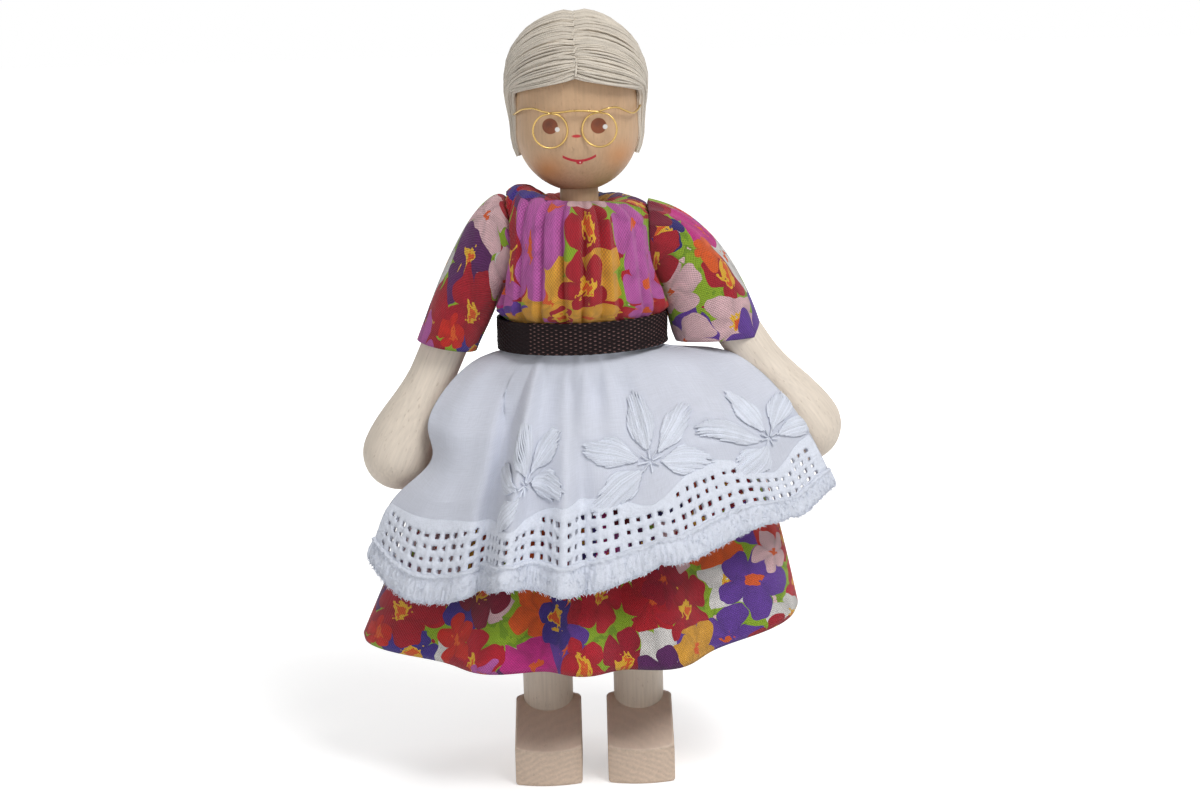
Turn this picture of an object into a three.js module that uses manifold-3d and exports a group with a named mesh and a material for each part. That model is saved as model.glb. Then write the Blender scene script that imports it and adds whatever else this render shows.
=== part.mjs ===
// A turned wooden miniature doll in a floral dress and a white apron, as separate named pieces.
// Millimetres, +Z up. The doll faces -Y, so its left arm lies at +X.
import * as THREE from "three";
import { mergeVertices } from "three/addons/utils/BufferGeometryUtils.js";
import Module from "manifold-3d";

const wasm = await Module();
wasm.setup();

// Wooden body.
const torsoDiameter = 21;
const waistDiameter = 17.8;
const saddleDrop = 5;
const saddleWidth = 5.6;
const hipHeight = 52;
const hipDowelDiameter = 4;
const legDiameter = 8;
const legDepthInShoe = 7.2;
const shoeLength = 20;
const shoeWidth = 10.5;
const shoeHeight = 10.8;
const toeHeight = 5.8;
const heelBehindLeg = 6;
const shoulderHeight = 84.5;
const shoulderDrop = 4.1;
const armDiameter = 7.2;
const handDiameter = 11.8;
const armLength = 36.3;
const leftSplay = 33.5;
const rightSplay = 24.5;
const cordDiameter = 1.6;
const knotDiameter = 3.4;

// Head.
const neckShown = 3.7;
const headDiameter = 19.1;
const headLength = 26.4;
const neckDiameter = 6;
const neckDepth = 10.5;
const hairThickness = 1.3;
const hairEdgeRise = 4.9;
const hairlineRise = 17.7;
const hairlineDrop = 3;
const stitchDiameter = 0.6;
const wireDiameter = 0.65;
const lensDiameter = 5.3;
const lensSpacing = 7.5;
const lensRise = 10;

// Clothes.
const clothThickness = 0.8;
const bodiceEase = 2.5;
const bodicePleats = 12;
const bodicePleatDepth = 0.45;
const sleeveLength = 17.3;
const sleeveEase = 1.2;
const sleeveHeadDiameter = 12.4;
const sleeveThickness = 0.6;
const leftHemWidth = 12.6;
const leftHemDepth = 9.6;
const leftSleeveLag = 5;
const leftHemSlant = 0.3;
const rightHemWidth = 9.2;
const rightHemDepth = 12.4;
const rightSleeveLag = 0;
const rightHemSlant = 0.18;
const ribbonWidth = 6;
const ribbonThickness = 0.6;
const waistDrop = 17.4;
const skirtHemHeight = 20.9;
const skirtHemTilt = 1.4;
const skirtSideLift = 3;
const skirtHemWidth = 68.6;
const skirtHemDepth = 51;
const skirtSway = 1.4;
const skirtFolds = 9;
const skirtFoldDepth = 1.5;
const skirtHollow = 3.2;
const apronDrop = 34.9;
const apronLeftReach = 38.4;
const apronLeftDrop = 46.9;
const apronRightReach = 34.7;
const apronRightDrop = 35.2;
const apronSag = 2;
const apronDepth = 26.6;
const apronFolds = 5;
const apronFoldDepth = 0.9;
const apronGathers = 8;
const apronGatherDepth = 0.7;
const apronLapDepth = 3;
const apronCreaseDepth = 1.4;
const handDent = 4.2;

// Fits.
const fitGap = 0.3;
const clothGap = 0.5;

// Sizes that follow from those above.
const torsoRadius = torsoDiameter / 2;
const torsoTop = shoulderHeight + shoulderDrop;
const chinHeight = torsoTop + neckShown;
const hairEdgeHeight = chinHeight + hairEdgeRise;
const hairlinePeak = chinHeight + hairlineRise;
const lensHeight = chinHeight + lensRise;
const beltHeight = shoulderHeight - waistDrop;
const armRadius = armDiameter / 2;
const handRadius = handDiameter / 2;
const shoulderReach = torsoRadius + clothGap + armRadius;
const legRadius = legDiameter / 2;
const legOffset = saddleWidth / 2 + clothGap + legRadius;
const saddleCeiling = hipHeight + legRadius + 1;
const headRadius = headDiameter / 2;
const headTop = chinHeight + headLength;
const hairInnerRadius = headRadius + fitGap;
const hairRadius = hairInnerRadius + hairThickness;
const crownHeight = headTop - headRadius;
const beltTop = beltHeight + ribbonWidth;
const bodiceWaistRadius = waistDiameter / 2 + clothGap + clothThickness;
const skirtWaistRadius = bodiceWaistRadius + fitGap + clothThickness;
const apronWaistRadius = skirtWaistRadius + fitGap + clothThickness;
const beltRadius = apronWaistRadius + fitGap + ribbonThickness;
const apronFlare = beltHeight - clothGap;
const skirtFlare = apronFlare - clothGap;
const rightHandHeight = shoulderHeight - armLength * Math.cos(radians(rightSplay));
const rightHandInside = shoulderReach + armLength * Math.sin(radians(rightSplay)) - handRadius;

function radians(degrees) {
  return (degrees * Math.PI) / 180;
}

function mix(from, to, share) {
  return from + (to - from) * share;
}

function material(colour, roughness, metalness) {
  return new THREE.MeshStandardMaterial({ color: colour, roughness, metalness });
}

function welded(geometry) {
  const bare = geometry.clone();
  bare.deleteAttribute("normal");
  bare.deleteAttribute("uv");
  return mergeVertices(bare, 1e-4);
}

function solidOf(geometry) {
  const merged = welded(geometry);
  return new wasm.Manifold(
    new wasm.Mesh({
      numProp: 3,
      vertProperties: new Float32Array(merged.attributes.position.array),
      triVerts: new Uint32Array(merged.index.array),
    }),
  );
}

function geometryOf(solid) {
  const mesh = solid.getMesh();
  const geometry = new THREE.BufferGeometry();
  geometry.setAttribute("position", new THREE.BufferAttribute(new Float32Array(mesh.vertProperties), 3));
  geometry.setIndex(new THREE.BufferAttribute(new Uint32Array(mesh.triVerts), 1));
  geometry.computeVertexNormals();
  return geometry;
}

function cut(base, ...tools) {
  let solid = solidOf(base);
  for (const tool of tools) {
    solid = solid.subtract(solidOf(tool));
  }
  return geometryOf(solid);
}

function join(first, ...others) {
  let solid = solidOf(first);
  for (const other of others) {
    solid = solid.add(solidOf(other));
  }
  return geometryOf(solid);
}

function common(first, second) {
  return geometryOf(solidOf(first).intersect(solidOf(second)));
}

// A solid turned about Z from [radius, height] pairs that run from the bottom of the axis to its top.
function turned(profile, segments) {
  const points = profile.map(([radius, height]) => new THREE.Vector2(radius, height));
  return new THREE.LatheGeometry(points, segments).rotateX(Math.PI / 2);
}

// A quarter round or an arc of a turned profile, as [radius, height] pairs.
function arcOfProfile(centreRadius, centreHeight, radius, from, to, steps) {
  return Array.from({ length: steps + 1 }, (_, step) => {
    const angle = radians(mix(from, to, step / steps));
    return [centreRadius + radius * Math.cos(angle), centreHeight + radius * Math.sin(angle)];
  });
}

function rodAlongX(radius, from, to, segments) {
  const rod = new THREE.CylinderGeometry(radius, radius, to - from, segments).rotateZ(Math.PI / 2);
  return rod.translate((from + to) / 2, 0, 0);
}

function rodAlongZ(radius, from, to, segments) {
  const rod = new THREE.CylinderGeometry(radius, radius, to - from, segments).rotateX(Math.PI / 2);
  return rod.translate(0, 0, (from + to) / 2);
}

function box(fromX, toX, fromY, toY, fromZ, toZ) {
  const block = new THREE.BoxGeometry(toX - fromX, toY - fromY, toZ - fromZ);
  return block.translate((fromX + toX) / 2, (fromY + toY) / 2, (fromZ + toZ) / 2);
}

// A wire or thread of round section along a curve.
function tube(curve, diameter, sides, steps) {
  const section = new THREE.Shape().absarc(0, 0, diameter / 2, 0, 2 * Math.PI);
  return new THREE.ExtrudeGeometry(section, { extrudePath: curve, steps, curveSegments: sides / 2 });
}

// The mirror image across the plane x = 0, with its faces turned back outwards.
function mirrored(geometry) {
  const image = welded(geometry).scale(-1, 1, 1);
  const index = image.index.array;
  for (let corner = 0; corner < index.length; corner += 3) {
    const second = index[corner + 1];
    index[corner + 1] = index[corner + 2];
    index[corner + 2] = second;
  }
  return image;
}

// A thin closed wall between two surfaces, each a point for (across, down) from 0 to 1.
// A ring runs all the way round; a sheet has two side edges.
function thinWall(outerAt, innerAt, columns, rows, isRing) {
  const places = [];
  const width = isRing ? columns : columns + 1;
  for (const pointAt of [outerAt, innerAt]) {
    for (let row = 0; row <= rows; row += 1) {
      for (let column = 0; column < width; column += 1) {
        places.push(...pointAt(column / columns, row / rows).toArray());
      }
    }
  }
  const at = (side, row, column) => (side * (rows + 1) + row) * width + (column % width);
  const faces = [];
  const quad = (a, b, c, d) => faces.push(a, b, c, a, c, d);
  for (let column = 0; column < columns; column += 1) {
    for (let row = 0; row < rows; row += 1) {
      quad(at(0, row, column), at(0, row + 1, column), at(0, row + 1, column + 1), at(0, row, column + 1));
      quad(at(1, row, column), at(1, row, column + 1), at(1, row + 1, column + 1), at(1, row + 1, column));
    }
    quad(at(0, 0, column), at(0, 0, column + 1), at(1, 0, column + 1), at(1, 0, column));
    quad(at(0, rows, column), at(1, rows, column), at(1, rows, column + 1), at(0, rows, column + 1));
  }
  if (!isRing) {
    for (let row = 0; row < rows; row += 1) {
      quad(at(0, row, 0), at(1, row, 0), at(1, row + 1, 0), at(0, row + 1, 0));
      quad(at(0, row, columns), at(0, row + 1, columns), at(1, row + 1, columns), at(1, row, columns));
    }
  }
  const geometry = new THREE.BufferGeometry();
  geometry.setAttribute("position", new THREE.BufferAttribute(new Float32Array(places), 3));
  geometry.setIndex(faces);
  geometry.computeVertexNormals();
  return geometry;
}

function makeTorso() {
  const bottom = hipHeight - saddleDrop;
  const hole = neckDiameter / 2 + fitGap / 2;
  const profile = [
    [0, bottom],
    [waistDiameter / 2 - 1, bottom],
    [waistDiameter / 2, bottom + 1],
    [waistDiameter / 2, beltTop],
    [torsoRadius, shoulderHeight - armDiameter],
    ...arcOfProfile(torsoRadius - 2.5, torsoTop - 2.5, 2.5, 0, 90, 4),
    [hole, torsoTop],
    [hole, torsoTop - neckDepth - fitGap],
    [0, torsoTop - neckDepth - fitGap],
  ];
  const body = turned(profile, 32);
  // Room for a leg head on each side of the saddle; it slants up in front so that a raised thigh clears it.
  const slant = new THREE.Shape();
  slant.moveTo(-torsoRadius - 1, bottom - 1);
  slant.lineTo(torsoRadius + 1, bottom - 1);
  slant.lineTo(torsoRadius + 1, saddleCeiling);
  slant.lineTo(0, saddleCeiling);
  slant.lineTo(-torsoRadius - 1, saddleCeiling + (torsoRadius + 1) * Math.tan(radians(24)));
  const room = new THREE.ExtrudeGeometry(slant, { depth: torsoRadius, bevelEnabled: false });
  room.rotateX(Math.PI / 2).rotateZ(Math.PI / 2).translate(saddleWidth / 2, 0, 0);
  const hipHole = rodAlongX(hipDowelDiameter / 2 + fitGap / 2, -torsoRadius, torsoRadius, 24);
  hipHole.translate(0, 0, hipHeight);
  return cut(body, room, mirrored(room), hipHole, cordHole(16));
}

// The hole that the shoulder cord is threaded through, drilled across the torso and its neck peg together.
function cordHole(segments) {
  const hole = rodAlongX(cordDiameter / 2 + fitGap, -torsoRadius - 1, torsoRadius + 1, segments);
  return hole.translate(0, 0, shoulderHeight);
}

function makeNeckPeg() {
  const peg = rodAlongZ(neckDiameter / 2, torsoTop - neckDepth, chinHeight + neckDepth, 32);
  return cut(peg, cordHole(16));
}

function makeHead() {
  const hole = neckDiameter / 2 + fitGap / 2;
  const profile = [
    [0, chinHeight + neckDepth + fitGap],
    [hole, chinHeight + neckDepth + fitGap],
    [hole, chinHeight + 0.2],
    ...arcOfProfile(0, chinHeight + headRadius, headRadius, -69, 0, 5),
    ...arcOfProfile(0, crownHeight, headRadius, 0, 90, 6),
  ];
  return turned(profile, 32);
}

function hairCapsule(radius) {
  const low = hairEdgeHeight - 3;
  return turned([[0, low], [radius, low], ...arcOfProfile(0, crownHeight, radius, 0, 90, 6)], 32);
}

function partingCurve(radius) {
  const points = Array.from({ length: 13 }, (_, step) => {
    const angle = radians(mix(-66, 84, step / 12));
    return new THREE.Vector3(0, radius * Math.sin(angle), crownHeight + radius * Math.cos(angle));
  });
  return new THREE.CatmullRomCurve3(points);
}

function makeHair() {
  const below = box(-20, 20, -20, 20, hairEdgeHeight - 6, hairEdgeHeight);
  // The face shows through a window under an arched hairline.
  const arch = new THREE.Shape();
  arch.moveTo(-20, hairEdgeHeight - 6);
  arch.lineTo(20, hairEdgeHeight - 6);
  arch.lineTo(20, hairlinePeak - hairlineDrop);
  for (let step = 0; step <= 12; step += 1) {
    const share = mix(1, -1, step / 12);
    arch.lineTo(hairRadius * share, hairlinePeak - hairlineDrop * Math.abs(share) ** 1.4);
  }
  arch.lineTo(-20, hairlinePeak - hairlineDrop);
  const window = new THREE.ExtrudeGeometry(arch, { depth: 20, bevelEnabled: false });
  window.rotateX(Math.PI / 2).translate(0, -1, 0);
  const groove = tube(partingCurve(hairRadius), stitchDiameter + 2 * fitGap, 6, 14);
  return cut(hairCapsule(hairRadius), hairCapsule(hairInnerRadius), below, window, groove);
}

function makeStitch() {
  const start = partingCurve(hairRadius - 0.1);
  return tube(start, stitchDiameter, 6, 14);
}

function makeSpectacles() {
  const ringRadius = lensDiameter / 2 + wireDiameter / 2;
  const front = -(headRadius + fitGap + wireDiameter);
  const top = lensHeight + ringRadius;
  const round = headRadius + fitGap + wireDiameter;
  const rings = [-1, 1].map((side) => {
    const ring = new THREE.TorusGeometry(ringRadius, wireDiameter / 2, 6, 20).rotateX(Math.PI / 2);
    return ring.translate((side * lensSpacing) / 2, front, lensHeight);
  });
  const bridge = new THREE.LineCurve3(
    new THREE.Vector3(-lensSpacing / 2, front, top),
    new THREE.Vector3(lensSpacing / 2, front, top),
  );
  const temples = [-1, 1].map((side) => {
    const points = [new THREE.Vector3((side * lensSpacing) / 2, front, top)];
    for (let step = 0; step <= 4; step += 1) {
      const angle = radians(mix(40, 80, step / 4));
      points.push(new THREE.Vector3(side * round * Math.sin(angle), -round * Math.cos(angle), top));
    }
    return tube(new THREE.CatmullRomCurve3(points), wireDiameter, 6, 10);
  });
  return join(rings[0], rings[1], tube(bridge, wireDiameter, 6, 2), temples[0], temples[1]);
}

function makeCord() {
  const knot = knotDiameter / 2;
  const seat = shoulderReach + 1.4;
  const bend = Math.asin(cordDiameter / knotDiameter);
  const degrees = (bend * 180) / Math.PI;
  const profile = [
    ...arcOfProfile(0, -seat, knot, -90, 90 - degrees, 7),
    ...arcOfProfile(0, seat, knot, degrees - 90, 90, 7),
  ];
  return turned(profile, 14).rotateY(Math.PI / 2).translate(0, 0, shoulderHeight);
}

// An arm hangs down from its shoulder point and is then splayed outwards; the cord passes along X.
function makeArm(splay) {
  const wrist = armLength * 0.6;
  const profile = arcOfProfile(0, -armLength, handRadius, -90, 0, 5);
  for (let step = 1; step <= 6; step += 1) {
    const ease = (1 + Math.cos((Math.PI * step) / 6)) / 2;
    profile.push([mix(armRadius, handRadius, ease), mix(-armLength, -wrist, step / 6)]);
  }
  profile.push(...arcOfProfile(0, 0, armRadius, 0, 90, 4));
  const arm = turned(profile, 24).rotateY(-radians(splay));
  const hole = rodAlongX(cordDiameter / 2 + fitGap, -armDiameter, armDiameter, 14);
  const knotRoom = knotDiameter / 2 + fitGap;
  const room = rodAlongX(knotRoom, 1.4 - knotRoom, armDiameter, 16);
  return cut(arm, hole, room).translate(shoulderReach, 0, shoulderHeight);
}

// Half the sleeve's section across and in depth at a share of its length.
function sleeveSection(hem, share) {
  const root = armRadius + sleeveEase + sleeveThickness;
  return { across: mix(root, hem.width / 2, share), deep: mix(root, hem.depth / 2, share) };
}

function sleeveBody(hem, shrink, stretch) {
  const columns = 20;
  const rings = [];
  const root = armRadius + sleeveEase + sleeveThickness - shrink;
  for (const lean of [15, 35, 55, 75]) {
    const angle = radians(lean);
    rings.push({ across: root * Math.sin(angle), deep: root * Math.sin(angle), down: -root * Math.cos(angle) });
  }
  for (let step = 0; step <= 4; step += 1) {
    const share = step / 4;
    const section = sleeveSection(hem, share);
    rings.push({
      across: section.across - shrink,
      deep: section.deep - shrink,
      down: sleeveLength * share,
      slant: hem.slant * share,
    });
  }
  if (stretch > 0) {
    const last = rings[rings.length - 1];
    rings.push({ ...last, down: last.down + stretch });
  }
  const places = [];
  for (const ring of rings) {
    for (let column = 0; column < columns; column += 1) {
      const angle = (2 * Math.PI * column) / columns;
      const x = ring.across * Math.cos(angle);
      places.push(x, ring.deep * Math.sin(angle), -ring.down - (ring.slant ?? 0) * x);
    }
  }
  const last = rings.length - 1;
  const top = places.length / 3;
  places.push(0, 0, root, 0, 0, -rings[last].down);
  const faces = [];
  for (let column = 0; column < columns; column += 1) {
    const next = (column + 1) % columns;
    faces.push(top, column, next, top + 1, last * columns + next, last * columns + column);
    for (let row = 0; row < last; row += 1) {
      const upper = row * columns;
      const lower = upper + columns;
      faces.push(upper + column, lower + column, lower + next, upper + column, lower + next, upper + next);
    }
  }
  const geometry = new THREE.BufferGeometry();
  geometry.setAttribute("position", new THREE.BufferAttribute(new Float32Array(places), 3));
  geometry.setIndex(faces);
  return geometry;
}

// The gathered head of a sleeve is round about the cord, so it keeps to its armhole as the arm swings.
function sleeveHead(shrink) {
  const high = sleeveHeadDiameter / 2 - shrink;
  const wide = armRadius + sleeveEase + sleeveThickness - shrink;
  const inside = torsoRadius - shoulderReach - 1 - shrink;
  const profile = [
    [0, inside],
    [high, inside],
  ];
  for (const lean of [0, 20, 40, 60, 75, 90]) {
    profile.push([high * Math.cos(radians(lean)), wide * Math.sin(radians(lean))]);
  }
  return turned(profile, 28).rotateY(Math.PI / 2);
}

function makeSleeve(hem) {
  const layers = [0, sleeveThickness].map((shrink) => {
    const body = sleeveBody(hem, shrink, shrink > 0 ? 1 : 0).rotateY(-radians(hem.splay));
    return join(body, sleeveHead(shrink)).translate(shoulderReach, 0, shoulderHeight);
  });
  const armhole = box(0, torsoRadius + fitGap, -20, 20, shoulderHeight - 40, shoulderHeight + 20);
  return cut(layers[0], layers[1], armhole);
}

// The space that a sleeve sweeps round the cord, which the bodice keeps clear of.
function sleeveSweep(hem) {
  const lean = radians(hem.splay);
  const start = torsoRadius - shoulderReach;
  const head = sleeveHeadDiameter / 2 + fitGap;
  const profile = [
    [0, start],
    [head, start],
  ];
  for (let step = 0; step <= 6; step += 1) {
    const { across } = sleeveSection(hem, step / 6);
    const along = (sleeveLength * step) / 6;
    const away = along * Math.cos(lean) + across * Math.sin(lean);
    const inside = along * Math.sin(lean) - across * Math.cos(lean) - clothGap;
    if (away > head) {
      profile.push([away, Math.max(inside, start)]);
    }
  }
  const [edge] = profile[profile.length - 1];
  profile.push([edge, 40], [0, 40]);
  return turned(profile, 32).rotateY(Math.PI / 2).translate(shoulderReach, 0, shoulderHeight);
}

function bodiceProfile() {
  const chest = torsoRadius + bodiceEase;
  const points = [
    new THREE.Vector2(neckDiameter / 2 + 1.6, torsoTop + 1.7),
    new THREE.Vector2(chest - 4.6, torsoTop + 2.5),
    new THREE.Vector2(chest - 1, torsoTop + 0.2),
    new THREE.Vector2(chest - 0.1, shoulderHeight - 2),
    new THREE.Vector2(chest + 0.4, beltTop + 4),
    new THREE.Vector2(chest + 0.2, beltTop + 1.8),
    new THREE.Vector2(bodiceWaistRadius + 0.4, beltTop - 0.4),
    new THREE.Vector2(bodiceWaistRadius, beltTop - 2),
    new THREE.Vector2(bodiceWaistRadius, beltHeight - 0.5),
  ];
  return new THREE.SplineCurve(points);
}

function makeBodice(hems) {
  const profile = bodiceProfile();
  const pointAt = (inset) => (across, down) => {
    const angle = 2 * Math.PI * across;
    const place = profile.getPoint(down);
    const along = profile.getTangent(down);
    const loose = Math.sin(Math.PI * Math.min(1, down * 1.35)) ** 0.7;
    const pleat = bodicePleatDepth * Math.max(0, loose) * Math.cos(bodicePleats * angle + 2 * Math.sin(angle));
    const radius = place.x + pleat + inset * along.y;
    const height = place.y - inset * along.x;
    return new THREE.Vector3(radius * Math.sin(angle), -radius * Math.cos(angle), height);
  };
  const shell = thinWall(pointAt(0), pointAt(clothThickness), 48, 8, true);
  return cut(shell, sleeveSweep(hems.left), mirrored(sleeveSweep(hems.right)));
}

function skirtHem(angle) {
  const side = Math.sin(angle);
  return skirtHemHeight + skirtHemTilt * side + skirtSideLift * side * side;
}

// How far the skirt's outside reaches from the axis at an angle from the front and a height.
// Beside the hands it is held in by the right hand; the belt holds its top.
function skirtReach(angle, height) {
  if (height >= skirtFlare) {
    return skirtWaistRadius;
  }
  const fall = (skirtFlare - height) / (skirtFlare - skirtHem(angle));
  const handSide = rightHandInside - 1.3;
  const hemSide = skirtHemWidth / 2 - skirtSway * Math.sin(angle);
  const upper = (skirtFlare - height) / (skirtFlare - rightHandHeight);
  const lower = (rightHandHeight - height) / (rightHandHeight - skirtHem(angle));
  const half = upper < 1 ? mix(skirtWaistRadius, handSide, upper ** 0.45) : mix(handSide, hemSide, lower);
  const depth = mix(skirtWaistRadius, skirtHemDepth / 2, fall ** 0.75);
  const round = 1 / Math.hypot(Math.sin(angle) / half, Math.cos(angle) / depth);
  // The apron's folds press the front in.
  const turn = Math.atan2(Math.sin(angle), Math.cos(angle));
  const hollow = skirtHollow * Math.exp(-((turn / 1.1) ** 4)) * Math.sin(0.85 * Math.PI * Math.min(1, fall) ** 0.8);
  const fold = skirtFoldDepth * fall * Math.cos(skirtFolds * angle + 1.2 * Math.sin(2 * angle) + 0.6);
  return round + fold - hollow;
}

function makeSkirt() {
  const rows = 8;
  const tuck = 1 / rows;
  const top = beltTop - 1.6;
  const pointAt = (inset) => (across, down) => {
    const angle = 2 * Math.PI * across;
    const hem = skirtHem(angle);
    const fall = (down - tuck) / (1 - tuck);
    const height = fall < 0 ? mix(top, skirtFlare, down / tuck) : mix(skirtFlare, hem, fall);
    const reach = skirtReach(angle, height) - inset;
    return new THREE.Vector3(reach * Math.sin(angle), -reach * Math.cos(angle), height);
  };
  return thinWall(pointAt(0), pointAt(clothThickness), 60, rows, true);
}

const apronRows = 8;

// A fold that lies over its neighbour: a valley on its right and a ridge on its left, each 1 high.
function lappedFold(across, place, width) {
  const share = (across - place) / width;
  return share * Math.exp((1 - share * share) / 2);
}

// How far the apron's folds stand out: soft waves, a lapped fold, a crease lower down and gathers at the waist.
function apronFold(across, fall) {
  const waves = apronFoldDepth * fall * Math.cos(apronFolds * Math.PI * across + 0.8);
  const lap = apronLapDepth * lappedFold(across, -0.43, 0.06) * Math.min(1, fall * 3);
  const creased = Math.min(1, Math.max(0, (fall - 0.3) * 2.5));
  const crease = -apronCreaseDepth * lappedFold(across, -0.07, 0.05) * creased;
  const gather = Math.cos(apronGathers * Math.PI * across + 3 * Math.sin(5 * across));
  const gathered = (0.6 + 0.4 * Math.sin(7 * across + 1)) * Math.min(1, fall * 8) * Math.max(0, 1 - fall / 0.45);
  return waves + lap + crease + apronGatherDepth * gather * gathered;
}

// How high the apron's hem hangs: it climbs to the left hand and sags before the right one.
function apronHem(across) {
  if (across > 0) {
    return mix(apronDrop, apronLeftDrop, across);
  }
  return mix(apronDrop, apronRightDrop, -across) - apronSag * Math.sin(Math.PI * (-across) ** 1.5);
}

// A point of the apron's middle surface: across from -1 (right edge) to 1 (left edge), down from 0 to 1.
function apronPoint(across, down) {
  const top = beltTop - 2.4;
  const middle = apronWaistRadius - clothThickness / 2;
  const tuck = 1 / apronRows;
  if (down <= tuck) {
    const angle = across * radians(80);
    const height = mix(top, apronFlare, down / tuck);
    return new THREE.Vector3(middle * Math.sin(angle), -middle * Math.cos(angle), height);
  }
  const fall = (down - tuck) / (1 - tuck);
  const isLeft = across > 0;
  const reach = isLeft ? apronLeftReach : apronRightReach;
  const height = mix(apronFlare, apronHem(across), fall);
  const bow = isLeft ? mix(0.7, 0.32, across) : mix(0.7, 0.47, -across);
  const startReach = Math.sin(across * radians(80)) * middle;
  const besideHand = Math.exp(-(((height - rightHandHeight) / 4.5) ** 2));
  const dent = isLeft ? 0 : handDent * across ** 4 * besideHand;
  const x = mix(startReach, reach * across, fall ** bow) + dent;
  const startDepth = Math.cos(across * radians(80)) * middle;
  const edgeDepth = handRadius + 1.4;
  const deep = mix(middle, apronDepth, fall ** 0.75);
  const spread = mix(deep, edgeDepth, Math.abs(across) ** 2.2);
  const y = -mix(startDepth, spread, Math.min(1, fall * 3)) - apronFold(across, fall);
  // The skirt underneath pushes the apron out wherever it would otherwise cross it.
  const angle = Math.atan2(x, -y);
  const least = skirtReach(angle, height) + clothGap + clothThickness;
  const far = Math.max(1, least / Math.hypot(x, y));
  return new THREE.Vector3(x * far, y * far, height);
}

function makeApron() {
  const pointAt = (inset) => (column, down) => {
    const across = 2 * column - 1;
    const small = 0.01;
    const here = apronPoint(across, down);
    const level = apronPoint(Math.min(1, across + small), down).sub(apronPoint(Math.max(-1, across - small), down));
    const fall = apronPoint(across, Math.min(1, down + small)).sub(apronPoint(across, Math.max(0, down - small)));
    const outwards = fall.cross(level).normalize();
    return here.addScaledVector(outwards, inset);
  };
  const half = clothThickness * 0.45;
  return thinWall(pointAt(half), pointAt(-half), 64, apronRows, false);
}

function makeBelt() {
  const inner = beltRadius - ribbonThickness;
  const profile = [
    [inner, beltHeight],
    [beltRadius, beltHeight],
    [beltRadius, beltTop],
    [inner, beltTop],
    [inner, beltHeight],
  ];
  return turned(profile, 48);
}

function makeHipDowel() {
  const reach = legOffset + legRadius * 0.8;
  return rodAlongX(hipDowelDiameter / 2, -reach, reach, 24).translate(0, 0, hipHeight);
}

function makeLeg() {
  const foot = shoeHeight - legDepthInShoe;
  const shaft = rodAlongZ(legRadius, foot, hipHeight, 28);
  const stub = rodAlongZ(legRadius, hipHeight - 1, hipHeight + legDiameter, 28);
  const headRound = rodAlongX(legRadius, -legDiameter, legDiameter, 28).translate(0, 0, hipHeight);
  const hole = rodAlongX(hipDowelDiameter / 2 + fitGap / 2, -legDiameter, legDiameter, 24).translate(0, 0, hipHeight);
  return cut(join(shaft, common(stub, headRound)), hole).translate(legOffset, 0, 0);
}

function makeShoe() {
  const toe = heelBehindLeg - shoeLength;
  const half = shoeWidth / 2;
  const side = new THREE.Shape();
  side.moveTo(toe, 0);
  side.lineTo(heelBehindLeg, 0);
  side.lineTo(heelBehindLeg, shoeHeight - 1);
  side.lineTo(heelBehindLeg - 1, shoeHeight);
  side.lineTo(0, shoeHeight);
  side.lineTo(toe, toeHeight);
  const block = new THREE.ExtrudeGeometry(side, { depth: shoeWidth, bevelEnabled: false });
  block.rotateX(Math.PI / 2).rotateZ(Math.PI / 2).translate(-half, 0, 0);
  // From above, the toe bulges a little and the heel is rounded.
  const plan = new THREE.Shape();
  plan.moveTo(-half, toe + 2.4);
  plan.quadraticCurveTo(-half, toe + 1.5, -half + 0.9, toe + 1.2);
  plan.quadraticCurveTo(0, toe - 1.2, half - 0.9, toe + 1.2);
  plan.quadraticCurveTo(half, toe + 1.5, half, toe + 2.4);
  plan.lineTo(half, heelBehindLeg - 4);
  plan.quadraticCurveTo(half, heelBehindLeg, 0, heelBehindLeg);
  plan.quadraticCurveTo(-half, heelBehindLeg, -half, heelBehindLeg - 4);
  const outline = new THREE.ExtrudeGeometry(plan, { depth: shoeHeight + 2, bevelEnabled: false, curveSegments: 6 });
  outline.translate(0, 0, -1);
  const foot = shoeHeight - legDepthInShoe;
  const hole = rodAlongZ(legRadius + fitGap / 2, foot - fitGap, shoeHeight + 2, 28);
  return cut(common(block, outline), hole).translate(legOffset, 0, 0);
}

const maple = material(0xdcc9ae, 0.6, 0);
const wood = material(0xb89878, 0.65, 0);
const shoeWood = material(0x9d8270, 0.7, 0);
const yarn = material(0xece6d8, 0.9, 0);
const gold = material(0xc9a352, 0.35, 1);
const floral = material(0xc2304e, 0.9, 0);
const lace = material(0xeef0f5, 0.9, 0);
const grosgrain = material(0x2d191c, 0.8, 0);
const elastic = material(0xe6e0d4, 0.8, 0);

const hems = {
  left: {
    width: leftHemWidth,
    depth: leftHemDepth,
    slant: leftHemSlant,
    splay: leftSplay - leftSleeveLag,
  },
  right: {
    width: rightHemWidth,
    depth: rightHemDepth,
    slant: rightHemSlant,
    splay: rightSplay - rightSleeveLag,
  },
};

const doll = new THREE.Group();
doll.name = "miniature_doll";

function add(name, geometry, look) {
  const mesh = new THREE.Mesh(geometry, look);
  mesh.name = name;
  doll.add(mesh);
}

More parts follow.
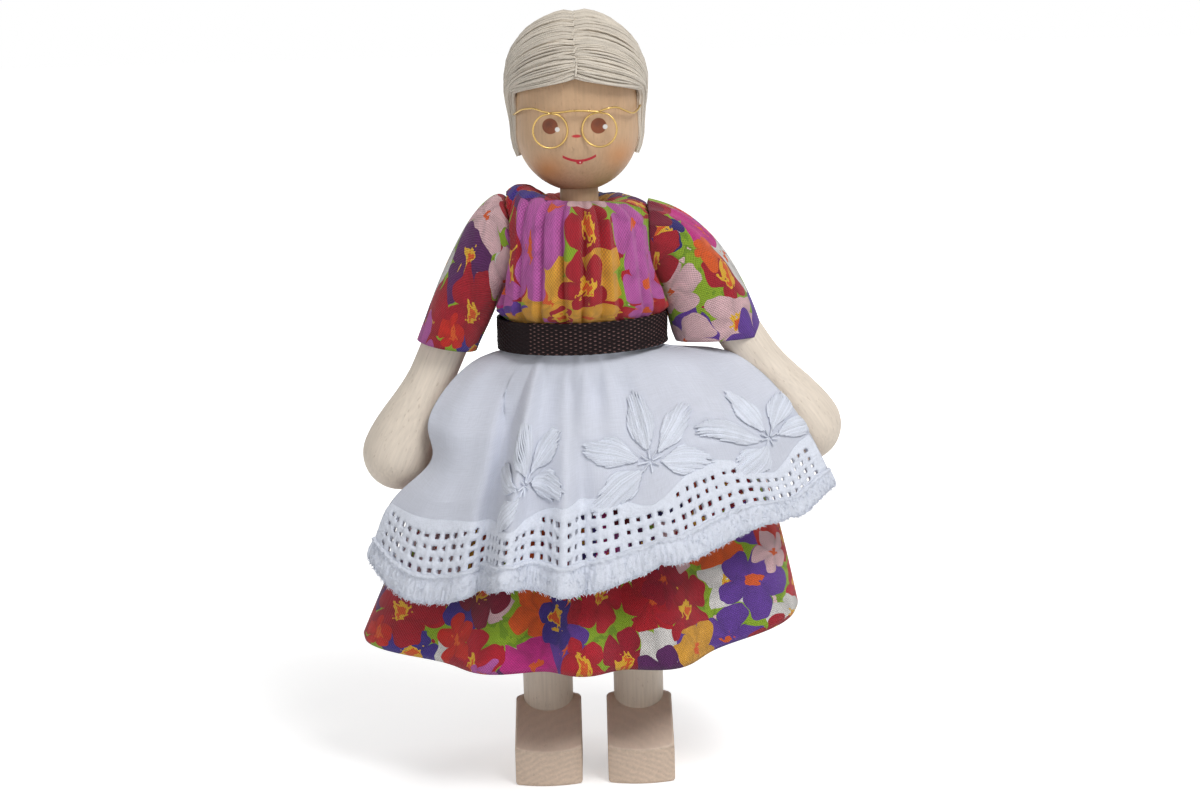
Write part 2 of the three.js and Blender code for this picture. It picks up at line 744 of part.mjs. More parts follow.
add("torso", makeTorso(), wood);
add("neck_peg", makeNeckPeg(), wood);
add("shoulder_elastic", makeCord(), elastic);
add("head", makeHead(), wood);
add("hair_wig", makeHair(), yarn);
add("parting_stitch", makeStitch(), yarn);
add("spectacles", makeSpectacles(), gold);
add("left_arm", makeArm(leftSplay), maple);
add("right_arm", mirrored(makeArm(rightSplay)), maple);
add("left_sleeve", makeSleeve(hems.left), floral);
add("right_sleeve", mirrored(makeSleeve(hems.right)), floral);
add("bodice", makeBodice(hems), floral);
add("skirt", makeSkirt(), floral);
add("apron", makeApron(), lace);
add("belt", makeBelt(), grosgrain);
add("hip_dowel", makeHipDowel(), wood);
add("left_leg", makeLeg(), maple);
add("right_leg", mirrored(makeLeg()), maple);
add("left_shoe", makeShoe(), shoeWood);
add("right_shoe", mirrored(makeShoe()), shoeWood);

// The part's origin is the middle of its box, on the floor.
const extent = new THREE.Box3().setFromObject(doll);
const middle = extent.getCenter(new THREE.Vector3());
for (const mesh of doll.children) {
  mesh.geometry.translate(-middle.x, -middle.y, -extent.min.z);
}

export default doll;
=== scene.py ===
import math
import random
from bisect import bisect_left

import bmesh
import bpy
from bpy.props import FloatProperty, FloatVectorProperty, IntProperty, PointerProperty
from mathutils import Matrix, Vector, noise


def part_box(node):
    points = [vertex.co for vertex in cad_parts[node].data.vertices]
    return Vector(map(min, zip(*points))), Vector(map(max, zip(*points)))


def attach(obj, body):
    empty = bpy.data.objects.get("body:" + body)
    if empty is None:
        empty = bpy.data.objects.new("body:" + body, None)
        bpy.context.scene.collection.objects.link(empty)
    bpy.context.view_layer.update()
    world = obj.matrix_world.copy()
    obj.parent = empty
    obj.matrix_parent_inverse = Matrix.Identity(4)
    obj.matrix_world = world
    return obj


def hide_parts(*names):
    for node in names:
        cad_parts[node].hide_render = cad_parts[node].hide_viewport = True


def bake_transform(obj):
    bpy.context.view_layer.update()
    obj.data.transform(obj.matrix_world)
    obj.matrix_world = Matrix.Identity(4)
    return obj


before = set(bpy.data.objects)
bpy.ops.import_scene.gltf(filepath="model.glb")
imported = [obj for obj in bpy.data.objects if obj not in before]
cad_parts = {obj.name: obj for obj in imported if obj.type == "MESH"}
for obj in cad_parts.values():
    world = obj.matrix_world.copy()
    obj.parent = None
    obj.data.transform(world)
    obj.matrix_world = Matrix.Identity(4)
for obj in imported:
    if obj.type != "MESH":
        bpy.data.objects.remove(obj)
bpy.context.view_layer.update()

bl_info = {
    "name": "Miniature Doll Maker",
    "version": (1, 0, 0),
    "blender": (4, 5, 0),
    "location": "View3D > Sidebar > Doll",
    "description": "Makes the looks of a turned wooden doll in a floral dress and a white apron",
    "category": "Add Mesh",
}

MM = 0.001
TORSO_LOW, TORSO_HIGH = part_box("torso")
AXIS = (TORSO_LOW + TORSO_HIGH) / 2

# Sizes of the solids and of the cloth over them, in millimetres, with x and y from the torso's axis.
SHOULDER_REACH, SHOULDER_HEIGHT = 14.6, 84.5
ARM_LENGTH, ARM_RADIUS, HAND_RADIUS = 36.3, 3.6, 5.9
# The arms' lean, in degrees.
LEFT_SPLAY, RIGHT_SPLAY = 33.5, 24.5
HIP_HEIGHT, LEG_OFFSET, LEG_RADIUS = 52.0, 7.3, 4.0
SHOE_LENGTH, SHOE_WIDTH, SHOE_HEIGHT, TOE_HEIGHT, HEEL = 20.0, 10.5, 10.8, 5.8, 6.0
CHIN, HEAD_RADIUS, HEAD_LENGTH, NECK_RADIUS = 92.3, 9.55, 26.4, 3.0
JAW_CENTRE = CHIN + HEAD_RADIUS
CROWN_CENTRE = CHIN + HEAD_LENGTH - HEAD_RADIUS
HAIR_EDGE, HAIR_RADIUS = 97.2, 11.1
LENS_HEIGHT, LENS_RADIUS = 102.4, 2.62
BELT_BOTTOM, BELT_TOP, BELT_RADIUS = 68.3, 73.1, 13.3
BELT_ROUND = 2 * math.pi * BELT_RADIUS
RIB_PITCH, RIB_ROW = 1.5, 0.62
RIBS = round(BELT_ROUND / RIB_PITCH)
# Where the belt's end lies, as a share of the way round from the back, and half the length of the lap.
BELT_LAP, HALF_LAP = 0.394, 0.09
SKIRT_WAIST, SKIRT_FLARE, SKIRT_SIDE, SKIRT_DEPTH = 11.3, 67.2, 34.4, 25.5
APRON_WAIST, APRON_FLARE, APRON_DEPTH = 12.0, 67.8, 26.6
APRON_LEFT, APRON_RIGHT = 38.4, 34.5
APRON_HEM_MIDDLE, APRON_HEM_LEFT, APRON_HEM_RIGHT = 35.7, 46.9, 36.4
# The share of the apron's length that is tucked under the belt, and that length.
APRON_TUCK, TUCKED = 0.11, 4.1
APRON_HALF_WAIST = math.radians(80)
SLEEVE_DROP, ARMHOLE = 17.3, 6.1
HAND_SIDE, HAND_HEIGHT = 22.45, 51.47


def place(x, y, z):
    """A point in millimetres from the torso's axis, as metres in the part's frame."""
    return Vector((AXIS.x + x * MM, AXIS.y + y * MM, z * MM))


def mix(first, second, share):
    return first + (second - first) * share


def clamp(value):
    return min(1, max(0, value))


def bump(value, middle, width):
    """1 at the middle, falling smoothly to 0 on both sides."""
    return math.exp(-(((value - middle) / width) ** 2))


def polar(radius, angle, height):
    """The coordinates of a place at an angle from the doll's front."""
    return radius * math.sin(angle), -radius * math.cos(angle), height


def bezier(start, leave, arrive, end, share):
    """A point of the curve from start to end that is drawn towards two more points."""
    back = 1 - share
    first, second = start * back ** 3, leave * 3 * back ** 2 * share
    return first + second + arrive * 3 * back * share ** 2 + end * share ** 3


def rgb(red, green, blue):
    """A colour as seen on a screen, 0 to 255, as the linear colour that shaders take."""
    def straight(value):
        value /= 255
        return value / 12.92 if value <= 0.04045 else ((value + 0.055) / 1.055) ** 2.4
    return (straight(red), straight(green), straight(blue), 1.0)


def colour_setting(name, description, *screen):
    return FloatVectorProperty(
        name=name, description=description, subtype="COLOR", size=4, min=0, max=1, default=rgb(*screen)
    )


def length_setting(name, description, millimetres):
    return FloatProperty(
        name=name, description=description, subtype="DISTANCE", unit="LENGTH", min=0, default=millimetres * MM
    )


class DollSizes(bpy.types.PropertyGroup):
    """Sizes of the parts that are made here and not in the solids."""

    strand_width: length_setting("Yarn strand", "Thickness of one strand of the wig", 0.36)
    wire_width: length_setting("Wire", "Thickness of the spectacles' wire", 0.32)
    cotton_thickness: length_setting("Dress cotton", "Thickness of the printed cotton", 0.4)
    batiste_thickness: length_setting("Apron cotton", "Thickness of the apron's fine cotton", 0.3)
    thread_width: length_setting("Embroidery thread", "Thickness of the white thread", 0.3)
    weave_pitch: length_setting("Weave", "Distance between two threads of the printed cotton", 0.42)
    flower_spacing: length_setting("Flowers", "Distance between the middles of printed flowers", 8.2)
    eyelet_pitch: length_setting("Eyelets", "Distance between two eyelets of the apron", 1.9)
    scallop_depth: length_setting("Scallops", "Depth of the scallops of the apron's hem", 2.6)
    strands_a_side: IntProperty(
        name="Strands", description="Strands of yarn on each side of the parting", min=10, default=180
    )


class DollColours(bpy.types.PropertyGroup):
    """Colours of the doll's finishes."""

    pale_wood: colour_setting("Arms and legs", "Colour of the arms and legs", 229, 216, 200)
    head_wood: colour_setting("Head", "Colour of the head and neck", 200, 165, 130)
    shoe_wood: colour_setting("Shoes", "Colour of the shoes", 216, 194, 174)
    yarn: colour_setting("Yarn", "Colour of the wig", 226, 216, 201)
    gold: colour_setting("Wire", "Colour of the spectacles", 196, 164, 100)
    ribbon: colour_setting("Belt", "Colour of the belt", 20, 9, 11)
    batiste: colour_setting("Apron", "Colour of the apron", 232, 236, 249)
    thread: colour_setting("Embroidery", "Colour of the embroidery", 233, 238, 250)
    elastic: colour_setting("Elastic", "Colour of the cord in the shoulders", 230, 224, 212)
    eye: colour_setting("Eyes", "Colour of the painted eyes", 124, 60, 24)
    lip: colour_setting("Mouth", "Colour of the painted mouth and nose", 186, 26, 44)
    blush: colour_setting("Cheeks", "Colour of the painted cheeks", 208, 138, 74)
    leaf: colour_setting("Leaves", "Colour of the printed leaves", 140, 172, 30)


PRINT_NAME = "printed_cotton"
PRINT_COLOURS = {
    "crimson": (168, 14, 36),
    "gold": (222, 160, 52),
    "orchid": (190, 92, 168),
    "ruby": (186, 18, 40),
    "violet": (98, 56, 152),
    "rose": (224, 184, 188),
    "wine": (122, 12, 44),
    "orange": (228, 94, 30),
    "navy": (40, 26, 106),
    "cherry": (180, 10, 30),
    "magenta": (198, 42, 132),
    "white": (222, 218, 214),
    "plum": (88, 26, 90),
    "scarlet": (204, 38, 24),
    "indigo": (62, 42, 132),
    "carmine": (158, 8, 40),
}


class Finish:
    """A material in the making, with short calls for its nodes."""

    def __init__(self, name, roughness, sheen=0.0, metallic=0.0):
        self.material = bpy.data.materials.new(name)
        self.material.use_nodes = True
        self.tree = self.material.node_tree
        self.shader = self.tree.nodes["Principled BSDF"]
        self.shader.inputs["Roughness"].default_value = roughness
        self.shader.inputs["Sheen Weight"].default_value = sheen
        self.shader.inputs["Metallic"].default_value = metallic

    def feed(self, socket, value):
        if isinstance(value, bpy.types.NodeSocket):
            self.tree.links.new(value, socket)
        else:
            socket.default_value = value

    def node(self, kind, inputs, **settings):
        made = self.tree.nodes.new(kind)
        for key, value in settings.items():
            setattr(made, key, value)
        for key, value in inputs.items():
            self.feed(made.inputs[key], value)
        return made

    def math(self, operation, first, second=0.0, third=0.0):
        made = self.node("ShaderNodeMath", {0: first, 1: second, 2: third}, operation=operation)
        return made.outputs[0]

    def vector(self, operation, first, second):
        made = self.node("ShaderNodeVectorMath", {0: first, 1: second}, operation=operation)
        return made.outputs["Value" if operation == "DISTANCE" else "Vector"]

    def parts(self, vector):
        return self.node("ShaderNodeSeparateXYZ", {0: vector}).outputs

    def mix(self, share, first, second, blend="MIX"):
        made = self.node(
            "ShaderNodeMix", {0: share, 6: first, 7: second}, data_type="RGBA", blend_type=blend
        )
        return made.outputs[2]

    def coordinates(self, kind, scale, lean=0.0):
        """Object coordinates in millimetres from the torso's axis, or the cloth's own map, times scale."""
        source = self.node("ShaderNodeTexCoord", {}).outputs[kind]
        if kind == "Object":
            source = self.vector("SUBTRACT", source, (AXIS.x, AXIS.y, 0))
            source = self.vector("MULTIPLY", source, (1 / MM, 1 / MM, 1 / MM))
        if lean:
            turn = {"Vector": source, "Rotation": (0, lean, 0)}
            source = self.node("ShaderNodeMapping", turn).outputs[0]
        return self.vector("MULTIPLY", source, scale)

    def noise(self, vector, scale=1.0, detail=3.0, output="Fac"):
        inputs = {"Vector": vector, "Scale": scale, "Detail": detail}
        return self.node("ShaderNodeTexNoise", inputs).outputs[output]

    def grain(self, source, stretch, detail, output="Fac"):
        """Noise in stretched coordinates."""
        return self.noise(self.vector("MULTIPLY", source, stretch), 1.0, detail, output)

    def between(self, value, low, high):
        """0 below low, 1 above high, and a smooth step between them."""
        made = self.node("ShaderNodeMapRange", {0: value, 1: low, 2: high}, interpolation_type="SMOOTHSTEP")
        return made.outputs[0]

    def steps(self, value, colours):
        """One of the colours for each equal share of 0 to 1."""
        made = self.node("ShaderNodeValToRGB", {0: value})
        ramp = made.color_ramp
        ramp.interpolation = "CONSTANT"
        while len(ramp.elements) < len(colours):
            ramp.elements.new(1.0)
        for index, colour in enumerate(colours):
            ramp.elements[index].position = index / len(colours)
            ramp.elements[index].color = colour
        return made.outputs[0]

    def shade(self, colour, value, dark, light):
        """The colour made darker or lighter as value goes from 0 to 1."""
        grey = self.node("ShaderNodeMapRange", {0: value, 3: dark, 4: light}).outputs[0]
        return self.mix(1.0, colour, grey, "MULTIPLY")

    def relief(self, height, depth):
        """Bumps of this depth in millimetres."""
        made = self.node("ShaderNodeBump", {"Height": height, "Distance": depth * MM, "Strength": 1.0})
        self.feed(self.shader.inputs["Normal"], made.outputs[0])

    def done(self, colour):
        self.feed(self.shader.inputs["Base Color"], colour)
        return self.material


def wood_colour(finish, colour, lean=0.0, across=(1.0, 1.0, 0.07)):
    """Fibres, faint growth rings and short dark flecks along one direction of the wood."""
    fibre_place = finish.coordinates("Object", across, lean)
    fibres = finish.noise(fibre_place, 2.6, 5.0)
    bands = finish.noise(fibre_place, 0.45, 2.0)
    rings = finish.math("SINE", finish.math("MULTIPLY", bands, 46.0))
    fleck_place = finish.coordinates("Object", tuple(3.4 if part > 0.5 else 0.75 for part in across), lean)
    flecks = finish.between(finish.noise(fleck_place, 1.0, 1.0), 0.66, 0.74)
    toned = finish.shade(colour, fibres, 0.86, 1.1)
    toned = finish.shade(toned, finish.math("MULTIPLY_ADD", rings, 0.5, 0.5), 0.965, 1.02)
    toned = finish.mix(finish.math("MULTIPLY", flecks, 0.22), toned, rgb(138, 104, 74))
    return toned, finish.math("SUBTRACT", fibres, finish.math("MULTIPLY", flecks, 0.4))


def wood(name, colour, lean=0.0, across=(1.0, 1.0, 0.07)):
    finish = Finish(name, 0.55)
    toned, height = wood_colour(finish, colour, lean, across)
    finish.relief(height, 0.05)
    return finish.done(toned)


def painted_head(colours):
    """Wood with a painted face: two brown eyes, a red nose and mouth, and warm cheeks."""
    finish = Finish("painted_head_wood", 0.5)
    toned, height = wood_colour(finish, colours.head_wood)
    side, depth, up = finish.parts(finish.coordinates("Object", (1, 1, 1)))[:3]
    flat = finish.node("ShaderNodeCombineXYZ", {0: side, 2: up}).outputs[0]
    front = finish.math("LESS_THAN", depth, -2.0)

    def spot(x, z, radius, soft, stretch=(1, 1, 1)):
        centre = (x * stretch[0], 0, z * stretch[2])
        away = finish.vector("DISTANCE", finish.vector("MULTIPLY", flat, stretch), centre)
        inside = finish.between(away, radius + soft, radius - soft)
        return finish.math("MULTIPLY", inside, front)

    def paint(share, paint_colour, strength=1.0):
        return finish.mix(finish.math("MULTIPLY", share, strength), toned, paint_colour)

    for x, z in ((-4.6, 96.4), (6.6, 98.0)):
        toned = paint(spot(x, z, 1.5, 2.4, (0.9, 1, 1)), colours.blush, 0.75)
    for x, z, glint_x, glint_z in ((-4.09, 103.0, 1.1, -0.5), (3.3, 102.9, 1.0, -0.2)):
        toned = paint(spot(x, z, 1.2, 0.06), colours.eye)
        toned = paint(spot(x - 0.25, z + 0.3, 0.4, 0.5), rgb(62, 26, 14), 0.45)
        toned = paint(spot(x + glint_x, z + glint_z, 0.36, 0.08), rgb(238, 236, 232))
    toned = paint(spot(-0.1, 101.45, 0.24, 0.08, (0.34, 1, 1)), colours.lip, 0.95)
    smile_x, smile_z, half_smile = 0.24, 97.62, 2.62
    off = finish.math("SUBTRACT", side, smile_x)
    rise = finish.math("MULTIPLY", finish.math("MULTIPLY", off, off), 0.112)
    gap = finish.math("ABSOLUTE", finish.math("SUBTRACT", finish.math("SUBTRACT", up, smile_z), rise))
    line = finish.between(gap, 0.28, 0.14)
    within = finish.between(finish.math("ABSOLUTE", off), half_smile, half_smile - 0.12)
    line = finish.math("MULTIPLY", finish.math("MULTIPLY", line, within), front)
    toned = paint(line, colours.lip)
    toned = paint(spot(smile_x, 97.36, 0.3, 0.07, (0.58, 1, 1)), colours.lip)
    # A small painted highlight on the lower lip.
    toned = paint(spot(smile_x + 0.1, 97.36, 0.12, 0.05), rgb(240, 200, 196))
    finish.relief(height, 0.05)
    return finish.done(toned)


def yarn(name, colour):
    finish = Finish(name, 0.85, sheen=0.25)
    fuzz = finish.noise(finish.coordinates("Object", (5, 5, 5)), 1.0, 4.0)
    patches = finish.noise(finish.coordinates("Object", (0.5, 0.5, 0.5)), 1.0, 2.0)
    toned = finish.shade(finish.shade(colour, fuzz, 0.82, 1.1), patches, 0.88, 1.08)
    island = finish.node("ShaderNodeNewGeometry", {}).outputs["Random Per Island"]
    toned = finish.shade(toned, island, 0.84, 1.06)
    finish.relief(fuzz, 0.12)
    return finish.done(toned)


def gold_wire(colour):
    finish = Finish("gold_wire", 0.22, metallic=1.0)
    wear_and_highlight_patches = finish.noise(finish.coordinates("Object", (1.5, 1.5, 1.5)), 1.0, 4.0)
    scratches = finish.noise(finish.coordinates("Object", (3, 3, 14)), 1.0, 3.0)
    finish.feed(finish.shader.inputs["Roughness"], finish.between(wear_and_highlight_patches, -0.35, 1.75))
    finish.relief(scratches, 0.002)
    return finish.done(finish.shade(colour, wear_and_highlight_patches, 0.8, 1.1))


def flower_layer(finish, cloth_place, spacing, size, shift, share, below):
    """Scattered five-petalled flowers with a yellow throat, painted over what lies below."""
    moved = finish.vector("ADD", cloth_place, (shift, shift * 0.37, 0))
    cells = finish.node(
        "ShaderNodeTexVoronoi",
        {"Vector": moved, "Scale": 1 / spacing, "Randomness": 0.72},
        voronoi_dimensions="2D",
    ).outputs
    local = finish.vector("SUBTRACT", moved, cells["Position"])
    away = finish.vector("DISTANCE", local, (0, 0, 0))
    x, y = finish.parts(local)[:2]
    pick = finish.node("ShaderNodeSeparateColor", {0: cells["Color"]}).outputs
    turn = finish.math("MULTIPLY_ADD", pick[1], 6.28, finish.math("ARCTAN2", y, x))
    swing = finish.math("ABSOLUTE", finish.math("COSINE", finish.math("MULTIPLY", turn, 2.5)))
    lobes = finish.math("POWER", swing, 0.55)
    reach = finish.math("MULTIPLY_ADD", pick[2], 0.45 * size, 0.68 * size)
    rim = finish.math("MULTIPLY", reach, finish.math("MULTIPLY_ADD", lobes, 0.45, 0.55))
    chance = finish.math("FRACT", finish.math("MULTIPLY", pick[2], 7.3))
    inside = finish.math("LESS_THAN", away, rim)
    shown = finish.math("MULTIPLY", inside, finish.math("LESS_THAN", chance, share))
    petal = finish.steps(pick[0], [rgb(*paint) for paint in PRINT_COLOURS.values()])
    brushed = finish.grain(local, (0.9, 0.9, 1), 3.0)
    petal = finish.shade(petal, brushed, 0.78, 1.2)
    petal = finish.shade(petal, swing, 0.8, 1.04)
    ragged = finish.grain(moved, (1.1, 1.1, 1), 1.0)
    has_throat = finish.math("LESS_THAN", finish.math("FRACT", finish.math("MULTIPLY", pick[0], 5.7)), 0.5)
    throat = finish.math("LESS_THAN", away, finish.math("MULTIPLY_ADD", ragged, 3.6, -0.35))
    petal = finish.mix(finish.math("MULTIPLY", throat, has_throat), petal, rgb(232, 180, 48))
    core = finish.math("LESS_THAN", away, finish.math("MULTIPLY_ADD", ragged, 3.0, -0.75))
    petal = finish.mix(core, petal, rgb(222, 92, 34))
    return finish.mix(shown, below, petal)


def floral_cotton(sizes, colours):
    """Plain-woven cotton with a scattered print of flowers and leaves in the cloth's own map."""
    finish = Finish(PRINT_NAME, 0.82, sheen=0.12)
    flat = finish.coordinates("UV", (1, 1, 1))
    wobble = finish.grain(flat, (0.3, 0.3, 1), 0.5, "Color")
    wobble = finish.vector("MULTIPLY", finish.vector("SUBTRACT", wobble, (0.5, 0.5, 0.5)), (3.4, 3.4, 0))
    painted = finish.vector("ADD", flat, wobble)
    leaves = finish.grain(painted, (0.3, 0.3, 1), 2.0)
    ground = finish.mix(finish.math("GREATER_THAN", leaves, 0.56), colours.leaf, rgb(116, 150, 24))
    ground = finish.mix(finish.math("GREATER_THAN", leaves, 0.66), ground, rgb(228, 192, 192))
    ground = finish.mix(finish.math("LESS_THAN", leaves, 0.36), ground, rgb(158, 8, 40))
    spacing = sizes.flower_spacing / MM
    look = flower_layer(finish, painted, spacing, 0.78 * spacing, 3.0, 1.0, ground)
    look = flower_layer(finish, painted, spacing * 1.4, 0.76 * spacing, 47.0, 0.7, look)
    look = flower_layer(finish, painted, spacing * 1.7, 0.48 * spacing, 83.0, 0.7, look)
    weave = woven(finish, flat, sizes.weave_pitch / MM, sizes.weave_pitch / MM)
    slub = finish.grain(flat, (0.8, 5.0, 1), 2.0)
    # Painted shade between the threads of the weave and painted highlights on their tops, and uneven threads
    # from the slubs.
    look = finish.shade(finish.shade(look, weave, 0.72, 1.18), slub, 0.9, 1.08)
    finish.relief(weave, 0.14)
    return finish.done(look)


def woven(finish, flat, pitch_across, pitch_along):
    """The height of a plain weave, 0 to 1."""
    u, v = finish.parts(flat)[:2]
    waves = [
        finish.math("SINE", finish.math("MULTIPLY", part, 2 * math.pi / pitch))
        for part, pitch in ((u, pitch_across), (v, pitch_along))
    ]
    return finish.math("MULTIPLY_ADD", finish.math("MULTIPLY", *waves), 0.5, 0.5)


def batiste(colour):
    """Fine white cotton, a little see-through, with uneven threads."""
    finish = Finish("white_batiste", 0.85, sheen=0.15)
    flat = finish.coordinates("UV", (1, 1, 1))
    weave = woven(finish, flat, 0.3, 0.3)
    slubs = [finish.grain(flat, stretch, 2.0) for stretch in ((0.3, 6.0, 1), (6.0, 0.3, 1))]
    slub = finish.math("MULTIPLY", finish.math("ADD", *slubs), 0.5)
    # Painted shade between the threads of the weave and a faint painted highlight on them, and uneven threads
    # from the slubs.
    toned = finish.shade(finish.shade(colour, weave, 0.94, 1.03), slub, 0.84, 1.16)
    finish.relief(finish.math("ADD", weave, slub), 0.07)
    finish.shader.inputs["Alpha"].default_value = 0.95
    return finish.done(toned)


def grosgrain(colour):
    """Dark ribbon with painted highlights where its raised threads catch the light."""
    finish = Finish("brown_grosgrain", 0.7)
    finish.shader.inputs["Specular IOR Level"].default_value = 0.15
    flat = finish.coordinates("UV", (1, 1, 1))
    weave = woven(finish, flat, RIB_PITCH, RIB_ROW)
    # Painted highlights: the crests of the raised threads are painted lighter in patches, with none over a
    # stretch at the belt's lapped end.
    wear_and_highlight_patches = finish.grain(flat, (0.25, 0.6, 1), 2.0)
    crest = finish.math("MULTIPLY", finish.between(weave, 0.7, 0.96), finish.between(wear_and_highlight_patches, 0.25, 0.55))
    off = finish.math("SUBTRACT", finish.parts(flat)[0], (BELT_LAP - HALF_LAP) * BELT_ROUND)
    shown = finish.math("GREATER_THAN", finish.math("ABSOLUTE", off), HALF_LAP * BELT_ROUND)
    bright = finish.math("MULTIPLY", crest, finish.math("MULTIPLY", shown, 0.7))
    toned = finish.mix(bright, colour, rgb(136, 104, 100))
    fuzz = finish.grain(flat, (9, 3, 1), 3.0)
    finish.relief(finish.math("MULTIPLY_ADD", fuzz, 0.4, weave), 0.08)
    return finish.done(finish.shade(toned, fuzz, 0.75, 1.2))


def turned(profile, steps=64):
    """A solid turned about Z from radius and height pairs in millimetres."""
    shape = bmesh.new()
    verts = [shape.verts.new((radius * MM, 0, height * MM)) for radius, height in profile]
    edges = [shape.edges.new(pair) for pair in zip(verts, verts[1:])]
    bmesh.ops.spin(
        shape, geom=verts + edges, cent=(0, 0, 0), axis=(0, 0, 1),
        angle=2 * math.pi, steps=steps, use_merge=True,
    )
    bmesh.ops.remove_doubles(shape, verts=shape.verts, dist=1e-6)
    bmesh.ops.recalc_face_normals(shape, faces=shape.faces)
    return shape


def arc(height, size, start, end, steps):
    """Points of an arc about a place on the turning axis, by angles in degrees above the level."""
    angles = [math.radians(mix(start, end, step / steps)) for step in range(steps + 1)]
    return [(size * math.cos(angle), height + size * math.sin(angle)) for angle in angles]


def swept(routes, width, roundness=1):
    """Round threads along routes; a route is a list of points, each with its share of the width."""
    data = bpy.data.curves.new("route", "CURVE")
    data.dimensions = "3D"
    data.bevel_depth = width / 2
    data.bevel_resolution = roundness
    data.use_fill_caps = True
    for route in routes:
        spline = data.splines.new("POLY")
        spline.points.add(len(route) - 1)
        for point, (spot, share) in zip(spline.points, route):
            point.co = (*spot, 1)
            point.radius = share
    holder = bpy.data.objects.new("route", data)
    bpy.context.scene.collection.objects.link(holder)
    mesh = bpy.data.meshes.new_from_object(holder.evaluated_get(bpy.context.evaluated_depsgraph_get()))
    shape = bmesh.new()
    shape.from_mesh(mesh)
    bpy.data.objects.remove(holder)
    bpy.data.curves.remove(data)
    bpy.data.meshes.remove(mesh)
    bmesh.ops.recalc_face_normals(shape, faces=shape.faces)
    return shape


def add_shape(shape, other):
    """Adds the faces of the other shape, which is used up."""
    mesh = bpy.data.meshes.new("added")
    other.to_mesh(mesh)
    other.free()
    shape.from_mesh(mesh)
    bpy.data.meshes.remove(mesh)


def thicken(shape, depth):
    """Gives a sheet a back at this depth, straight behind each of its corners."""
    shape.normal_update()
    fronts = list(shape.verts)
    edges = [edge for edge in shape.edges if edge.is_boundary]
    behind = [vert.co - vert.normal * depth for vert in fronts]
    geometry = fronts + list(shape.edges) + list(shape.faces)
    made = bmesh.ops.duplicate(shape, geom=geometry)
    backs = made["vert_map"]
    for vert, spot in zip(fronts, behind):
        backs[vert].co = spot
    back_faces = [part for part in made["geom"] if isinstance(part, bmesh.types.BMFace)]
    bmesh.ops.reverse_faces(shape, faces=back_faces)
    for edge in edges:
        loop = edge.link_loops[0]
        first, second = loop.vert, loop.link_loop_next.vert
        shape.faces.new((second, first, backs[first], backs[second]))


def cloth_grid(columns, rows, point_at, width, length, is_ring, corner=0.0):
    """A sheet of cloth from its flat grid.

    point_at takes shares across and down; the cloth's map is in millimetres and starts at the corner.
    """
    shape = bmesh.new()
    flat = shape.loops.layers.uv.new("cloth")
    bmesh.ops.create_grid(shape, x_segments=columns, y_segments=rows, size=0.5, calc_uvs=True)
    for face in shape.faces:
        for loop in face.loops:
            loop[flat].uv = ((loop.vert.co.x + 0.5) * width + corner, (loop.vert.co.y + 0.5) * length)
    for vert in shape.verts:
        vert.co = point_at(vert.co.x + 0.5, 0.5 - vert.co.y)
    if is_ring:
        bmesh.ops.remove_doubles(shape, verts=shape.verts, dist=1e-6)
    shape.normal_update()
    outward = 0
    for face in shape.faces:
        outward += face.normal.dot(face.calc_center_median() - AXIS) * face.calc_area()
    if outward < 0:
        bmesh.ops.reverse_faces(shape, faces=shape.faces)
    return shape


def new_piece(name, shape, material, body=None, nodes=(), thickness=0.0):
    """Makes a piece of a shape; with no body its place is baked into its mesh."""
    mesh = bpy.data.meshes.new(name)
    shape.to_mesh(mesh)
    shape.free()
    mesh.shade_smooth()
    mesh.materials.append(material)
    piece = bpy.data.objects.new(name, mesh)
    bpy.context.scene.collection.objects.link(piece)
    if body:
        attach(piece, body)
    else:
        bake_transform(piece)
    if thickness:
        wall = piece.modifiers.new("thickness", "SOLIDIFY")
        wall.thickness = thickness
        wall.offset = -1
    if nodes:
        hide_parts(*nodes)
    return piece


def skirt_hem(angle):
    side = math.sin(angle)
    return 20.9 + 1.6 * side ** 3 + 2.9 * side ** 4 + max(0, side) ** 6


def skirt_reach(angle, height):
    """How far the skirt reaches from the axis at an angle from the front and a height."""
    if height >= SKIRT_FLARE:
        return SKIRT_WAIST
    hem = skirt_hem(angle)
    fall = (SKIRT_FLARE - height) / (SKIRT_FLARE - hem)
    hem_side = SKIRT_SIDE - 1.3 * math.sin(angle)
    upper = (SKIRT_FLARE - height) / (SKIRT_FLARE - HAND_HEIGHT)
    lower = (HAND_HEIGHT - height) / (HAND_HEIGHT - hem)
    hand_side = HAND_SIDE + 2.6 * max(0, math.sin(angle)) ** 2
    if upper < 1:
        half = mix(SKIRT_WAIST, hand_side, upper ** 0.45)
    else:
        half = mix(hand_side, hem_side, lower ** (0.72 - 0.2 * math.sin(angle)))
    depth = mix(SKIRT_WAIST, SKIRT_DEPTH, fall ** 0.75)
    around = 1 / math.hypot(math.sin(angle) / half, math.cos(angle) / depth)
    return around + 1.5 * fall * math.cos(9 * angle + 1.2 * math.sin(2 * angle) + 0.6)


def skirt_cloth(angle, height):
    """The skirt's reach with its front drawn in a little, where the apron's folds lie over it."""
    fall = max(0, (SKIRT_FLARE - height) / (SKIRT_FLARE - skirt_hem(angle)))
    hollow = 3.2 * math.exp(-((angle / 1.1) ** 4)) * math.sin(0.85 * math.pi * min(1, fall) ** 0.8)
    return skirt_reach(angle, height) - hollow


class DollOperator(bpy.types.Operator):
    """What the makers of the doll's pieces share."""

    bl_options = {"REGISTER", "UNDO"}

    @property
    def sizes(self):
        return bpy.context.scene.doll_sizes

    @property
    def colours(self):
        return bpy.context.scene.doll_colours

    def print_cotton(self):
        """The dress's cotton, made once."""
        return bpy.data.materials.get(PRINT_NAME) or floral_cotton(self.sizes, self.colours)


